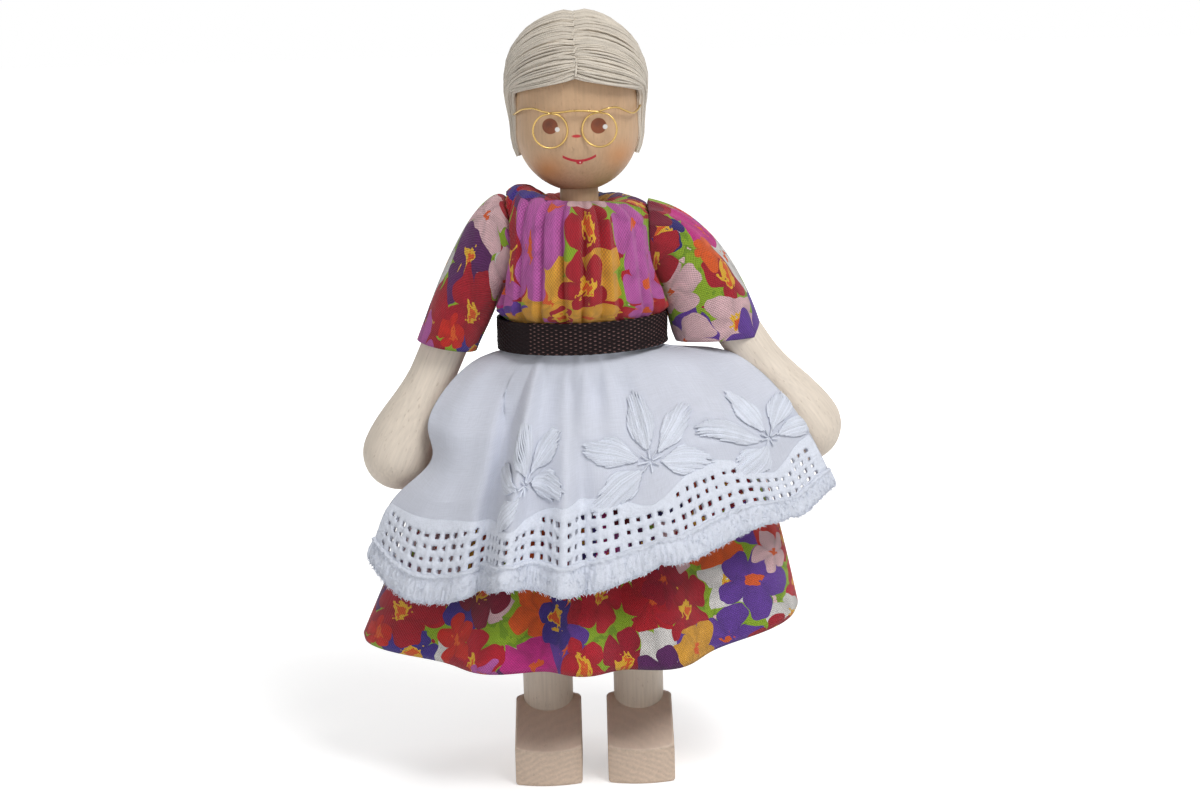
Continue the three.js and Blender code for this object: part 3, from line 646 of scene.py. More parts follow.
class DOLL_OT_stage(DollOperator):
    """Set up the camera, the soft lights and the pale floor"""

    bl_idname = "doll.stage"
    bl_label = "Stage"

    # The camera's lens, what it looks at, how it is tilted and rolled in degrees, and how far off it is.
    LENS, AIM, TILT, ROLL, DISTANCE = 75.7, (2.35, 0, 59), 10, -1.6, 0.4

    def execute(self, context):
        scene = context.scene
        scene.view_settings.view_transform = "Standard"
        self.make_camera(scene)
        self.make_floor()
        for name, spot, size, power in (
            ("key", (0.24, -0.34, 0.54), 0.24, 2.35),
            ("left_fill", (-0.42, -0.38, 0.25), 0.5, 0.7),
            ("right_fill", (0.42, -0.32, 0.28), 0.5, 0.35),
            ("rim", (0.05, 0.42, 0.42), 0.4, 1.2),
        ):
            lamp = bpy.data.lights.new(name, "AREA")
            lamp.size = size
            lamp.energy = power
            holder = bpy.data.objects.new(name, lamp)
            holder.location = spot
            aim = Vector((0, 0, 0.06)) - Vector(spot)
            holder.rotation_euler = aim.to_track_quat("-Z", "Y").to_euler()
            scene.collection.objects.link(holder)
        self.make_world(scene)
        return {"FINISHED"}

    def make_camera(self, scene):
        data = bpy.data.cameras.new("camera")
        data.lens = self.LENS
        data.sensor_width = 36
        camera = bpy.data.objects.new("camera", data)
        target = place(*self.AIM)
        tilt, roll = math.radians(self.TILT), math.radians(self.ROLL)
        back = Vector((0, -math.cos(tilt), math.sin(tilt)))
        right = Vector((1, 0, 0))
        up = back.cross(right)
        turned_right = right * math.cos(roll) + up * math.sin(roll)
        turned_up = up * math.cos(roll) - right * math.sin(roll)
        camera.rotation_euler = Matrix((turned_right, turned_up, back)).transposed().to_euler()
        camera.location = target + back * self.DISTANCE
        scene.collection.objects.link(camera)
        scene.camera = camera

    def make_floor(self):
        shape = bmesh.new()
        bmesh.ops.create_grid(shape, x_segments=8, y_segments=8, size=3)
        mesh = bpy.data.meshes.new("floor")
        shape.to_mesh(mesh)
        shape.free()
        floor = bpy.data.objects.new("floor", mesh)
        bpy.context.scene.collection.objects.link(floor)
        finish = Finish("pale_floor", 0.9)
        finish.shader.inputs["Specular IOR Level"].default_value = 0.0
        seen = self.seen_directly(finish.tree)
        finish.shader.inputs["Emission Color"].default_value = (1, 1, 1, 1)
        away = finish.vector("DISTANCE", finish.coordinates("Object", (1, 1, 1)), (0, 0, 0))
        glow = finish.math("MULTIPLY_ADD", finish.between(away, 60.0, 420.0), 0.48, 0.48)
        finish.feed(finish.shader.inputs["Emission Strength"], finish.math("MULTIPLY", seen, glow))
        mesh.materials.append(finish.done(rgb(238, 238, 238)))

    def seen_directly(self, tree):
        """1 for rays from the camera, and for what metal and glass show of the background."""
        light = tree.nodes.new("ShaderNodeLightPath")
        total = light.outputs["Is Camera Ray"]
        for other in ("Is Glossy Ray", "Is Transmission Ray"):
            added = tree.nodes.new("ShaderNodeMath")
            added.operation = "MAXIMUM"
            tree.links.new(total, added.inputs[0])
            tree.links.new(light.outputs[other], added.inputs[1])
            total = added.outputs[0]
        return total

    def make_world(self, scene):
        world = bpy.data.worlds.new("studio")
        world.use_nodes = True
        tree = world.node_tree
        background = tree.nodes["Background"]
        background.inputs["Color"].default_value = (1, 1, 1, 1)
        strength = tree.nodes.new("ShaderNodeMapRange")
        strength.inputs[3].default_value = 0.2
        strength.inputs[4].default_value = 1.0
        tree.links.new(self.seen_directly(tree), strength.inputs[0])
        tree.links.new(strength.outputs[0], background.inputs["Strength"])
        scene.world = world


class DOLL_OT_wooden_body(DollOperator):
    """Finish the body, the hip dowel and the shoulder cord, and make the neck"""

    bl_idname = "doll.wooden_body"
    bl_label = "Wooden body"

    def execute(self, context):
        bare = wood("body_wood", self.colours.head_wood)
        cord = yarn("elastic_cord", self.colours.elastic)
        for name, material, slot in (
            ("torso", bare, "head_wood"),
            ("hip_dowel", wood("dowel_wood", self.colours.pale_wood, 0.0, (0.07, 1.0, 1.0)), "pale_wood"),
            ("shoulder_elastic", cord, "elastic_cord"),
        ):
            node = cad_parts[name]
            node.data.materials.clear()
            node.data.materials.append(material)
        low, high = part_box("neck_peg")
        bottom, top = low.z / MM, high.z / MM
        profile = [(0, bottom), (NECK_RADIUS - 0.4, bottom), (NECK_RADIUS, bottom + 0.4)]
        shape = turned(profile + [(NECK_RADIUS, top), (0, top)])
        shape.transform(Matrix.Translation(place(0, 0, 0)))
        new_piece("neck_dowel", shape, bare, "torso", ["neck_peg"])
        return {"FINISHED"}


class DOLL_OT_head(DollOperator):
    """Make the turned head with its painted face"""

    bl_idname = "doll.head"
    bl_label = "Head"

    def execute(self, context):
        hole = NECK_RADIUS + 0.15
        profile = [(0, CHIN + 4), (hole, CHIN + 4), (hole, CHIN + 0.75)]
        profile += arc(JAW_CENTRE, HEAD_RADIUS, -69.5, 0, 26)
        profile += arc(CROWN_CENTRE, HEAD_RADIUS, 0, 90, 26)
        shape = turned(profile, 96)
        shape.transform(Matrix.Translation(place(0, 0, 0)))
        new_piece("painted_head", shape, painted_head(self.colours), "head", ["head"])
        return {"FINISHED"}


def on_hair(point, radius):
    """The point moved to this distance from the head's middle line."""
    middle = Vector((0, 0, min(max(point.z, JAW_CENTRE), CROWN_CENTRE)))
    return middle + (point - middle).normalized() * radius


def combed(side, share, along):
    """The middle line of a strand over the crown and down the side."""
    leave = math.radians(mix(-84, 86, share))
    land = math.radians(mix(87, 179, share ** 0.9))
    start = Vector((0, HAIR_RADIUS * math.sin(leave), CROWN_CENTRE + HAIR_RADIUS * math.cos(leave)))
    end = Vector((side * HAIR_RADIUS * math.sin(land), -HAIR_RADIUS * math.cos(land), HAIR_EDGE))
    first = start + Vector((side * mix(10.6, 0.4, share ** 3), 0, 0.5 * share))
    second = Vector((end.x * 1.1, end.y * 1.1 - 1.5 * (1 - share), HAIR_EDGE + mix(11.4, 9, share)))
    return bezier(start, first, second, end, along)


def hairline(side, along):
    """The front edge of the wig: it slopes to the temple and turns down there."""
    level, fall = min(1, along / 0.6), max(0, (along - 0.6) / 0.4)
    turn = math.radians(mix(0, 74, level) + 13 * fall)
    height = mix(CROWN_CENTRE + 1.16, 107.8, level ** 0.8)
    return Vector((
        side * HAIR_RADIUS * math.sin(turn), -HAIR_RADIUS * math.cos(turn), mix(height, HAIR_EDGE, fall)
    ))


def hair_point(side, share, along, lift=0.0):
    """A point of the strand that leaves the parting at a share from front to back, along it from 0 to 1."""
    curve = combed(side, share, along)
    if share < 0.35:
        curve += (hairline(side, along) - combed(side, 0, along)) * (1 - share / 0.35) ** 2
    groove = 0.35 * bump(along, 0, 0.03)
    # The yarn lies closer to the head lower down.
    rise = clamp((curve.z - 101.5) / 8.5)
    radius = mix(10.2, HAIR_RADIUS - 0.1, rise * rise * (3 - 2 * rise))
    # Its front edge lies against the temples.
    tuck = 0.75 * max(0, 1 - share / 0.07) * min(1, max(0, along - 0.35) * 4)
    return place(*on_hair(curve, max(9.85, radius - groove + lift - tuck)))


class DOLL_OT_hair(DollOperator):
    """Make the yarn wig of many strands and the thread along its parting"""

    bl_idname = "doll.hair"
    bl_label = "Yarn wig"

    def execute(self, context):
        dice = random.Random(7)
        material = yarn("cream_yarn", self.colours.yarn)
        strands = self.sizes.strands_a_side
        routes = []
        for side in (-1, 1):
            for index in range(strands):
                if index % 5 == 0:
                    lock = dice.uniform(-0.12, 0.14)
                    lock_drift = dice.uniform(-0.014, 0.014)
                share = clamp((index + dice.uniform(-0.45, 0.45)) / (strands - 1))
                lift = lock + dice.uniform(-0.18, 0.16)
                drift = lock_drift + dice.uniform(-0.01, 0.01)
                thick = dice.uniform(0.7, 1.15)
                curl, phase = dice.uniform(0.02, 0.1), dice.uniform(0, 6.28)
                route = []
                for step in range(17):
                    along = step / 16
                    wave = curl * math.sin(11 * along + phase)
                    sway = share + drift * math.sin(2 * math.pi * along)
                    spot = hair_point(side, clamp(sway), along, lift + wave)
                    route.append((spot, thick * (0.75 if step in (0, 16) else 1)))
                routes.append(route)
        shape = swept(routes, self.sizes.strand_width)
        for side in (-1, 1):
            cap = cloth_grid(
                40, 20, lambda across, down: hair_point(side, across, down, -0.22), 1, 1, False
            )
            thicken(cap, 0.35 * MM)
            add_shape(shape, cap)
        new_piece("yarn_wig", shape, material, "head", ["hair_wig"])
        self.make_stitches(material)
        return {"FINISHED"}

    def make_stitches(self, material):
        """A thread that runs under the parting and crosses it in short slanting stitches."""
        stitches = 17

        def on_parting(share, across, lift):
            angle = math.radians(mix(-83, 84, share))
            radius = HAIR_RADIUS - 0.25 + lift
            return place(across, radius * math.sin(angle), CROWN_CENTRE + radius * math.cos(angle))

        routes = [[(on_parting(step / 40, 0, -0.4), 1) for step in range(41)]]
        routes.append([
            (on_parting(0.08 * step / 6, 0.05 * step, 0.12 - 0.015 * step * step), 0.9) for step in range(7)
        ])
        for index in range(stitches):
            start, end = index / stitches, (index + 0.55) / stitches
            routes.append([
                (on_parting(start, -0.3, -0.25), 0.7),
                (on_parting(mix(start, end, 0.5), 0.0, 0.02), 0.9),
                (on_parting(end, 0.3, -0.25), 0.7),
            ])
        shape = swept(routes, 0.4 * MM)
        new_piece("parting_thread", shape, material, "head", ["parting_stitch"])


class DOLL_OT_spectacles(DollOperator):
    """Bend the spectacles from one gold wire"""

    bl_idname = "doll.spectacles"
    bl_label = "Spectacles"

    RIGHT_TEMPLE = (
        (-9.9, -0.6, 104.4), (-9.5, -3.0, 104.7), (-8.3, -6.2, 105.5),
        (-6.6, -8.6, 105.75), (-5.2, -9.8, 105.35),
    )
    BRIDGE = (-2.6, -10.45, 105.15), (-0.4, -10.5, 105.35), (1.8, -10.45, 105.25)
    LEFT_TEMPLE = (
        (4.8, -10.0, 105.55), (6.2, -8.9, 105.6), (7.6, -7.2, 104.9),
        (8.7, -5.4, 104.5), (9.6, -3.2, 105.1), (9.95, -0.8, 105.9),
    )

    def execute(self, context):
        rough = [Vector(spot) for spot in self.RIGHT_TEMPLE] + self.ring(-4.05)
        rough += [Vector(spot) for spot in self.BRIDGE] + self.ring(3.42)
        rough += [Vector(spot) for spot in self.LEFT_TEMPLE]
        smooth = []
        for before, start, end, after in zip([rough[0]] + rough, rough, rough[1:], rough[2:] + [rough[-1]]):
            for step in range(6):
                smooth.append(spline_point(before, start, end, after, step / 6))
        route = [(place(*spot), 1) for spot in smooth + [rough[-1]]]
        shape = swept([route], self.sizes.wire_width)
        new_piece("gold_spectacles", shape, gold_wire(self.colours.gold), "head", ["spectacles"])
        return {"FINISHED"}

    def ring(self, x):
        """One turn of the wire round a lens, starting and ending at its top."""
        steps = 12
        spots = []
        for step in range(steps + 1):
            angle = 2 * math.pi * step / steps
            across = LENS_RADIUS * math.sin(angle)
            depth = -10.25 + 0.45 * (step / steps - 0.5) + 0.06 * abs(x + across) ** 1.3
            spots.append(Vector((x - across, depth, LENS_HEIGHT + LENS_RADIUS * math.cos(angle))))
        return spots


def spline_point(before, start, end, after, share):
    """A point between start and end on the smooth curve through four points."""
    leave, arrive = (end - before) * 0.5, (after - start) * 0.5
    bend = start * 2 - end * 2 + leave + arrive
    swing = start * -3 + end * 3 - leave * 2 - arrive
    return bend * share ** 3 + swing * share ** 2 + leave * share + start


class DOLL_OT_arms(DollOperator):
    """Turn the two club-shaped arms"""

    bl_idname = "doll.arms"
    bl_label = "Arms"

    def execute(self, context):
        wrist = ARM_LENGTH * 0.6
        profile = arc(-ARM_LENGTH, HAND_RADIUS, -90, 0, 14)
        for step in range(1, 17):
            ease = (1 + math.cos(math.pi * step / 16)) / 2
            profile.append((mix(ARM_RADIUS, HAND_RADIUS, ease), mix(-ARM_LENGTH, -wrist, step / 16)))
        profile += arc(0, ARM_RADIUS, 0, 90, 10)
        for name, side, splay in (("left", 1, LEFT_SPLAY), ("right", -1, RIGHT_SPLAY)):
            lean = math.radians(splay) * side
            shape = turned(profile)
            shape.transform(Matrix.Rotation(-lean, 4, "Y"))
            shape.transform(Matrix.Translation(place(side * SHOULDER_REACH, 0, SHOULDER_HEIGHT)))
            material = wood(f"{name}_arm_wood", self.colours.pale_wood, lean)
            new_piece(f"turned_{name}_arm", shape, material, f"{name}_arm", [f"{name}_arm"])
        return {"FINISHED"}


class DOLL_OT_legs(DollOperator):
    """Make the two legs and their wooden shoes"""

    bl_idname = "doll.legs"
    bl_label = "Legs and shoes"

    def execute(self, context):
        leg_wood = wood("leg_wood", self.colours.pale_wood)
        shoe_wood = self.shoe_finish()
        foot = SHOE_HEIGHT - 7.2
        profile = [(0, foot), (LEG_RADIUS, foot), (LEG_RADIUS, HIP_HEIGHT)]
        profile += arc(HIP_HEIGHT, LEG_RADIUS, 8, 90, 8)
        for name, side in (("left", 1), ("right", -1)):
            centre = Matrix.Translation(place(side * LEG_OFFSET, 0, 0))
            shape = turned(profile)
            shape.transform(centre)
            new_piece(f"dowel_{name}_leg", shape, leg_wood, f"{name}_leg", [f"{name}_leg"])
            shape = self.shoe_shape()
            shape.transform(centre)
            shoe = new_piece(
                f"carved_{name}_shoe", shape, shoe_wood, f"{name}_leg", [f"{name}_shoe"]
            )
            shoe.modifiers.new("even_shading", "WEIGHTED_NORMAL").keep_sharp = True
        return {"FINISHED"}

    def shoe_finish(self):
        """Wood with rings across the toe, and painted light that makes the sloped top and the other faces
        looking up paler.
        """
        finish = Finish("shoe_wood", 0.6)
        toned, height = wood_colour(finish, self.colours.shoe_wood, 0.0, (1.0, 0.07, 1.0))
        spot = finish.coordinates("Object", (1, 1, 1))
        up = finish.parts(finish.node("ShaderNodeNewGeometry", {}).outputs["Normal"])[2]
        rings = finish.vector("DISTANCE", finish.vector("MULTIPLY", spot, (1, 0, 1)), (0, 0, -16))
        rings = finish.math("MULTIPLY_ADD", finish.noise(spot, 0.35, 2.0), 1.6, rings)
        waves = finish.math("SINE", finish.math("MULTIPLY", rings, 7.0))
        lines = finish.math("MULTIPLY_ADD", waves, 0.5, 0.5)
        toned = finish.shade(toned, lines, 0.93, 1.03)
        # Painted light: the faces that look up are painted paler.
        top = finish.between(up, 0.35, 0.8)
        toned = finish.mix(finish.math("MULTIPLY", top, 0.5), toned, rgb(238, 216, 198))
        finish.relief(height, 0.06)
        return finish.done(toned)

    def shoe_shape(self):
        """A block with a sloping top, a bulged toe and a rounded heel, its edges softened."""
        half, toe = SHOE_WIDTH / 2, HEEL - SHOE_LENGTH
        shape = bmesh.new()
        bmesh.ops.create_cube(shape, size=2)
        bmesh.ops.subdivide_edges(shape, edges=shape.edges, cuts=11, use_grid_fill=True)
        for vert in shape.verts:
            across, along, up = vert.co.x, (1 - vert.co.y) / 2, (vert.co.z + 1) / 2
            heel_line = HEEL - 3.6 * (1 - math.sqrt(max(0, 1 - 0.96 * across * across)))
            toe_line = toe + 1.1 * across * across
            y = mix(heel_line, 0, along * 3) if along < 1 / 3 else mix(0, toe_line, (along - 1 / 3) * 1.5)
            back = 1.2 * (y / HEEL) ** 2 + 0.8 * across ** 4 * clamp(y / 3)
            top = SHOE_HEIGHT - back if y >= 0 else mix(SHOE_HEIGHT, TOE_HEIGHT, y / toe)
            vert.co = Vector((across * half * MM, y * MM, up * top * MM))
        edges = [edge for edge in shape.edges if edge.calc_face_angle(0) > math.radians(34)]
        bmesh.ops.bevel(
            shape, geom=edges, offset=0.45 * MM, affect="EDGES", segments=3, profile=0.5, material=-1
        )
        bmesh.ops.recalc_face_normals(shape, faces=shape.faces)
        return shape


BODICE_LINE = [
    Vector(pair)
    for pair in (
        (4.3, 90.0), (8.2, 91.3), (11.9, 89.0), (12.9, 82.5), (13.5, 77.1),
        (13.8, 74.7), (12.3, 72.8), (10.6, 71.4), (10.2, 66.6),
    )
]


def line_point(points, share):
    """A point on the smooth curve through a list of points."""
    last = len(points) - 1
    index = min(int(share * last), last - 1)
    around = [points[min(max(index + step, 0), last)] for step in (-1, 0, 1, 2)]
    return spline_point(*around, share * last - index)


class DOLL_OT_bodice(DollOperator):
    """Gather the bodice of the dress at the neck and into the belt"""

    bl_idname = "doll.bodice"
    bl_label = "Bodice"

    def execute(self, context):
        shape = cloth_grid(300, 64, self.point, 94, 33, True, 55)
        material = self.print_cotton()
        bodice = new_piece(
            "gathered_bodice", shape, material, "torso", ["bodice"],
            self.sizes.cotton_thickness,
        )
        return {"FINISHED"}

    def point(self, across, down):
        angle = 2 * math.pi * across - math.pi
        line = line_point(BODICE_LINE, down)
        radius, height = line.x, line.y
        wander = 0.16 * noise.noise((4 * math.cos(angle), 4 * math.sin(angle), 1.5 * down))
        fold = abs(math.sin(11 * (angle + wander) + 0.9 * math.sin(2 * angle))) ** 0.7
        small = 1 - abs(math.sin(23 * (angle + 0.6 * wander) + 1))
        loose = 0.35 + 0.65 * abs(2 * min(1, down / 0.72) - 1) ** 1.2
        loose = max(loose, 1.15 * bump(angle, 0, 0.75))
        free = clamp((0.76 - down) / 0.1)
        radius += loose * free * (1.7 * (fold - 0.75) + 0.4 * (small - 0.45))
        height += 0.5 * (fold - 0.5) * bump(down, 0, 0.12)
        # The cloth stands up in a puff over the right shoulder and lies lower on the left one.
        puff = bump(angle, -1.3, 0.6) * bump(down, 0.2, 0.12)
        sunk = bump(angle, 1.3, 0.6) * bump(down, 0.2, 0.15)
        height += 3.1 * puff - 1.2 * sunk
        x, y = radius * math.sin(angle), -radius * math.cos(angle)
        # Round each shoulder the cloth is drawn in, so that a sleeve can turn beside it.
        away = math.hypot(y, height - SHOULDER_HEIGHT)
        side = 10.6 + max(0, away - 6.5) * 0.72
        if away < 12 and abs(x) > side:
            x = math.copysign(side + 0.12 * (abs(x) - side), x)
        return place(x, y, height)


class DOLL_OT_sleeves(DollOperator):
    """Make the two gathered sleeves"""

    bl_idname = "doll.sleeves"
    bl_label = "Sleeves"

    def execute(self, context):
        material = self.print_cotton()
        # The side, the lean in degrees, the hem's width, depth and slant, two places that draw out
        # the sleeve's top, and a seed for its creases.
        cuts = {
            "left": (1, 23.4, 13.2, 10.4, 0.36, (5.9, 4.0), (11.2, -5.1), 3),
            "right": (-1, 23.6, 9.6, 12.4, 0.18, (-0.6, 13.0), (6.7, -2.4), 7.4),
        }
        for name, cut in cuts.items():
            shape = cloth_grid(
                120, 44, lambda across, down: self.point(cut, across, down), 42, 23, True, 60 * cut[-1]
            )
            self.face_out(shape)
            sleeve = new_piece(
                f"gathered_{name}_sleeve", shape, material, f"{name}_arm",
                [f"{name}_sleeve"], self.sizes.cotton_thickness,
            )
        return {"FINISHED"}

    def face_out(self, shape):
        """Turns the faces away from the sleeve's middle line."""
        middle = sum((vert.co for vert in shape.verts), Vector()) / len(shape.verts)
        shape.normal_update()
        if sum(face.normal.dot(face.calc_center_median() - middle) for face in shape.faces) < 0:
            bmesh.ops.reverse_faces(shape, faces=shape.faces)

    def point(self, cut, across, down):
        """From the armhole, a ring about the shoulder cord, out over the shoulder and down to the hem."""
        side, lean, width, depth, slant, top_leave, top_arrive, seed = cut
        lean = math.radians(lean)
        angle = 2 * math.pi * across + math.pi / 2
        over, deep = math.sin(angle), math.cos(angle)
        share = (1 + over) / 2
        arm = Vector((math.sin(lean), 0, -math.cos(lean)))
        out = Vector((math.cos(lean), 0, math.sin(lean)))
        start = Vector((-3.9, ARMHOLE * deep, ARMHOLE * over))
        end = arm * (SLEEVE_DROP + slant * over * width / 2) + out * (over * width / 2)
        end.y = deep * depth / 2
        low_leave = start + Vector((1.6, 0.2 * deep, -0.6))
        low_arrive = end - arm * 5
        high_leave = Vector((top_leave[0], start.y * 1.05, top_leave[1]))
        high_arrive = Vector((top_arrive[0], end.y * 1.15, top_arrive[1]))
        leave = low_leave.lerp(high_leave, share ** 1.3)
        arrive = low_arrive.lerp(high_arrive, share ** 1.3)
        spot = bezier(start, leave, arrive, end, down)
        crease = noise.noise((1.6 * deep, 1.6 * over, 1.1 * down + seed))
        crease *= math.sin(math.pi * min(1, down * 1.1))
        gather = (1 - abs(math.sin(7 * angle + seed))) * max(0, 1 - down * 3) * share
        outward = Vector((0.5 * over, deep, over)).normalized()
        spot += outward * (0.9 * crease + 0.45 * (gather - 0.3))
        return place(side * (SHOULDER_REACH + spot.x), spot.y, SHOULDER_HEIGHT + spot.z)


class DOLL_OT_skirt(DollOperator):
    """Make the wide gathered skirt"""

    bl_idname = "doll.skirt"
    bl_label = "Skirt"

    def execute(self, context):
        shape = cloth_grid(456, 64, self.point, 192, 54, True, 400)
        material = self.print_cotton()
        skirt = new_piece(
            "gathered_skirt", shape, material, None, ["skirt"], self.sizes.cotton_thickness
        )
        return {"FINISHED"}

    def point(self, across, down):
        angle = 2 * math.pi * across - math.pi
        tuck = 0.1
        fall = (down - tuck) / (1 - tuck)
        hem = skirt_hem(angle)
        height = mix(BELT_TOP - 1.6, SKIRT_FLARE, down / tuck) if fall < 0 else mix(SKIRT_FLARE, hem, fall)
        wander = 0.3 * noise.noise((3 * math.cos(angle), 3 * math.sin(angle), 0.5))
        gather = 1 - math.cos(38 * angle + 8 * wander)
        deep = mix(0.2, 0.75, fall / 0.1) if fall < 0.1 else 0.75 * max(0, 1 - (fall - 0.1) / 0.6)
        reach = skirt_cloth(angle, height) - max(0.12, deep) * gather * (0 if fall > 0.7 else 1)
        reach -= 0.5 * max(0, (fall - 0.985) / 0.015)
        return place(*polar(reach, angle, height))


class DOLL_OT_belt(DollOperator):
    """Weave the ribbon belt"""

    bl_idname = "doll.belt"
    bl_label = "Belt"

    def execute(self, context):
        shape = cloth_grid(RIBS * 8, 44, self.point, RIBS * RIB_PITCH, BELT_TOP - BELT_BOTTOM, True)
        material = grosgrain(self.colours.ribbon)
        new_piece("ribbon_belt", shape, material, "torso", ["belt"], 0.45 * MM)
        return {"FINISHED"}

    def point(self, across, down):
        angle = 2 * math.pi * across - math.pi
        height = mix(BELT_TOP, BELT_BOTTOM, down)
        row = (BELT_TOP - BELT_BOTTOM) * (1 - down)
        weave = math.sin(2 * math.pi * RIBS * across) * math.sin(2 * math.pi * row / RIB_ROW)
        edge = bump(min(down, 1 - down), 0, 0.05)
        radius = BELT_RADIUS + 0.08 * weave * (1 - edge) + 0.1 * edge
        radius += 0.15 * noise.noise((3 * math.cos(angle), 3 * math.sin(angle), 2 * down))
        radius += 0.3 * clamp((BELT_LAP - across) / 0.004) * clamp((across - 0.2) / 0.1)
        return place(*polar(radius, angle, height + 0.25 * math.sin(angle + 0.4)))


def lapped_fold(across, at, width):
    """A fold over its neighbour: it stands out by 1 on the +across side and sinks by 1 on the other."""
    share = (across - at) / width
    return share * math.exp((1 - share * share) / 2)


def apron_fold(across, fall):
    """How far the apron stands out in millimetres: soft waves, a lapped fold, a crease and gathers."""
    waves = 0.9 * fall * math.cos(5 * math.pi * across + 0.8)
    lap = 3.6 * lapped_fold(across, -0.43, 0.055) * min(1, fall * 5)
    crease = -1.9 * lapped_fold(across, -0.07, 0.05) * clamp((fall - 0.25) * 2.5)
    return waves + lap + crease + apron_gather(across) * min(1, fall * 8) * max(0, 1 - fall / 0.5)


def apron_gather(across):
    """The small gathers at the apron's waist, -1 to 1."""
    return math.cos(8 * math.pi * across + 3 * math.sin(5 * across)) * (0.6 + 0.4 * math.sin(7 * across + 1))


def apron_hem(across):
    """How high the hem hangs: it climbs to the left hand and sags before the right one."""
    if across > 0:
        dips = 1.5 * bump(across, 0.28, 0.16) + 3 * bump(across, 0.83, 0.11)
        return mix(APRON_HEM_MIDDLE, APRON_HEM_LEFT, across) - dips
    return mix(APRON_HEM_MIDDLE, APRON_HEM_RIGHT, -across) - 3.8 * math.sin(math.pi * min(1, -across) ** 2.2)


def apron_point(across, down):
    """A point of the apron in millimetres: across from -1, the right edge, to 1, and down from 0 to 1."""
    angle = across * APRON_HALF_WAIST
    if down <= APRON_TUCK:
        height = mix(BELT_TOP - 2.4, APRON_FLARE, down / APRON_TUCK)
        radius = APRON_WAIST + 0.25 * apron_gather(across)
        return Vector(polar(radius, angle, height))
    fall = (down - APRON_TUCK) / (1 - APRON_TUCK)
    is_left = across > 0
    reach = APRON_LEFT if is_left else APRON_RIGHT
    height = mix(APRON_FLARE, apron_hem(across), fall)
    bow = mix(0.7, 0.32, across) if is_left else mix(0.7, 0.47, -across)
    if is_left:
        height += 0.5 * bump(across, 0.75, 0.3) * bump(fall, 0.08, 0.06)
    # The right hand presses the edge in.
    dent = 0 if is_left else 4.2 * across ** 4 * bump(height, HAND_HEIGHT, 4.5)
    x = mix(math.sin(angle) * APRON_WAIST, reach * across, fall ** bow) + dent
    deep = mix(APRON_WAIST, APRON_DEPTH, fall ** 0.75)
    spread = mix(deep, HAND_RADIUS + 1.4, abs(across) ** 2.2)
    y = -mix(math.cos(angle) * APRON_WAIST, spread, min(1, fall * 3)) - apron_fold(across, fall)
    turn = math.atan2(x, -y)
    least = skirt_cloth(turn, height) + 0.75
    far = max(1, least / math.hypot(x, y))
    return Vector((x * far, y * far, height))


class ApronCut:
    """Finds places on the hung apron by millimetres along its hem and up from its edge."""

    # Where two scallops of the hem meet, in millimetres from the doll's middle.
    MEETS = (-39, -13, 11, 31, 46)

    def __init__(self, scallop_depth):
        self.samples = [step / 120 - 1 for step in range(241)]
        hem = [apron_point(across, 1) for across in self.samples]
        self.along = [0.0]
        for first, second in zip(hem, hem[1:]):
            self.along.append(self.along[-1] + (second - first).length)
        self.width = self.along[-1]
        self.drops = [self.drop_length(across) for across in self.samples]
        self.length = max(self.drops)
        self.area = 0.85 * self.width * (sum(self.drops) / len(self.drops) + TUCKED)
        self.scallop_depth = scallop_depth
        self.sides = [spot.x for spot in hem]
        self.middle = self.along[bisect_left(self.sides, -0.9)]

    def drop_length(self, across):
        line = [apron_point(across, mix(APRON_TUCK, 1, step / 30)) for step in range(31)]
        return sum((second - first).length for first, second in zip(line, line[1:]))

    def find(self, values, along):
        """The value at a distance along the hem, straight between the samples."""
        index = min(max(bisect_left(self.along, along), 1), len(self.along) - 1)
        start, end = self.along[index - 1], self.along[index]
        return mix(values[index - 1], values[index], (along - start) / (end - start))

    def lobe(self, along):
        """1 in the middle of a scallop and 0 between two of them."""
        side = self.find(self.sides, along)
        index = min(max(bisect_left(self.MEETS, side), 1), len(self.MEETS) - 1)
        start, end = self.MEETS[index - 1], self.MEETS[index]
        return math.sin(math.pi * clamp((side - start) / (end - start))) ** 0.8

    def share_down(self, along, up):
        edge = self.scallop_depth * (self.lobe(along) - 0.6) * max(0, 1 - up / 14)
        return 1 + (edge - up) * (1 - APRON_TUCK) / self.find(self.drops, along)

    def spot(self, along, up, lift=0.0):
        """The place on the cloth, lifted off it by a few tenths of a millimetre."""
        across = self.find(self.samples, along)
        down = self.share_down(along, up)
        here = apron_point(across, down)
        if not lift:
            return here
        level = apron_point(across + 0.01, down) - apron_point(across - 0.01, down)
        fall = apron_point(across, down + 0.01) - apron_point(across, down - 0.01)
        return here + fall.cross(level).normalized() * lift


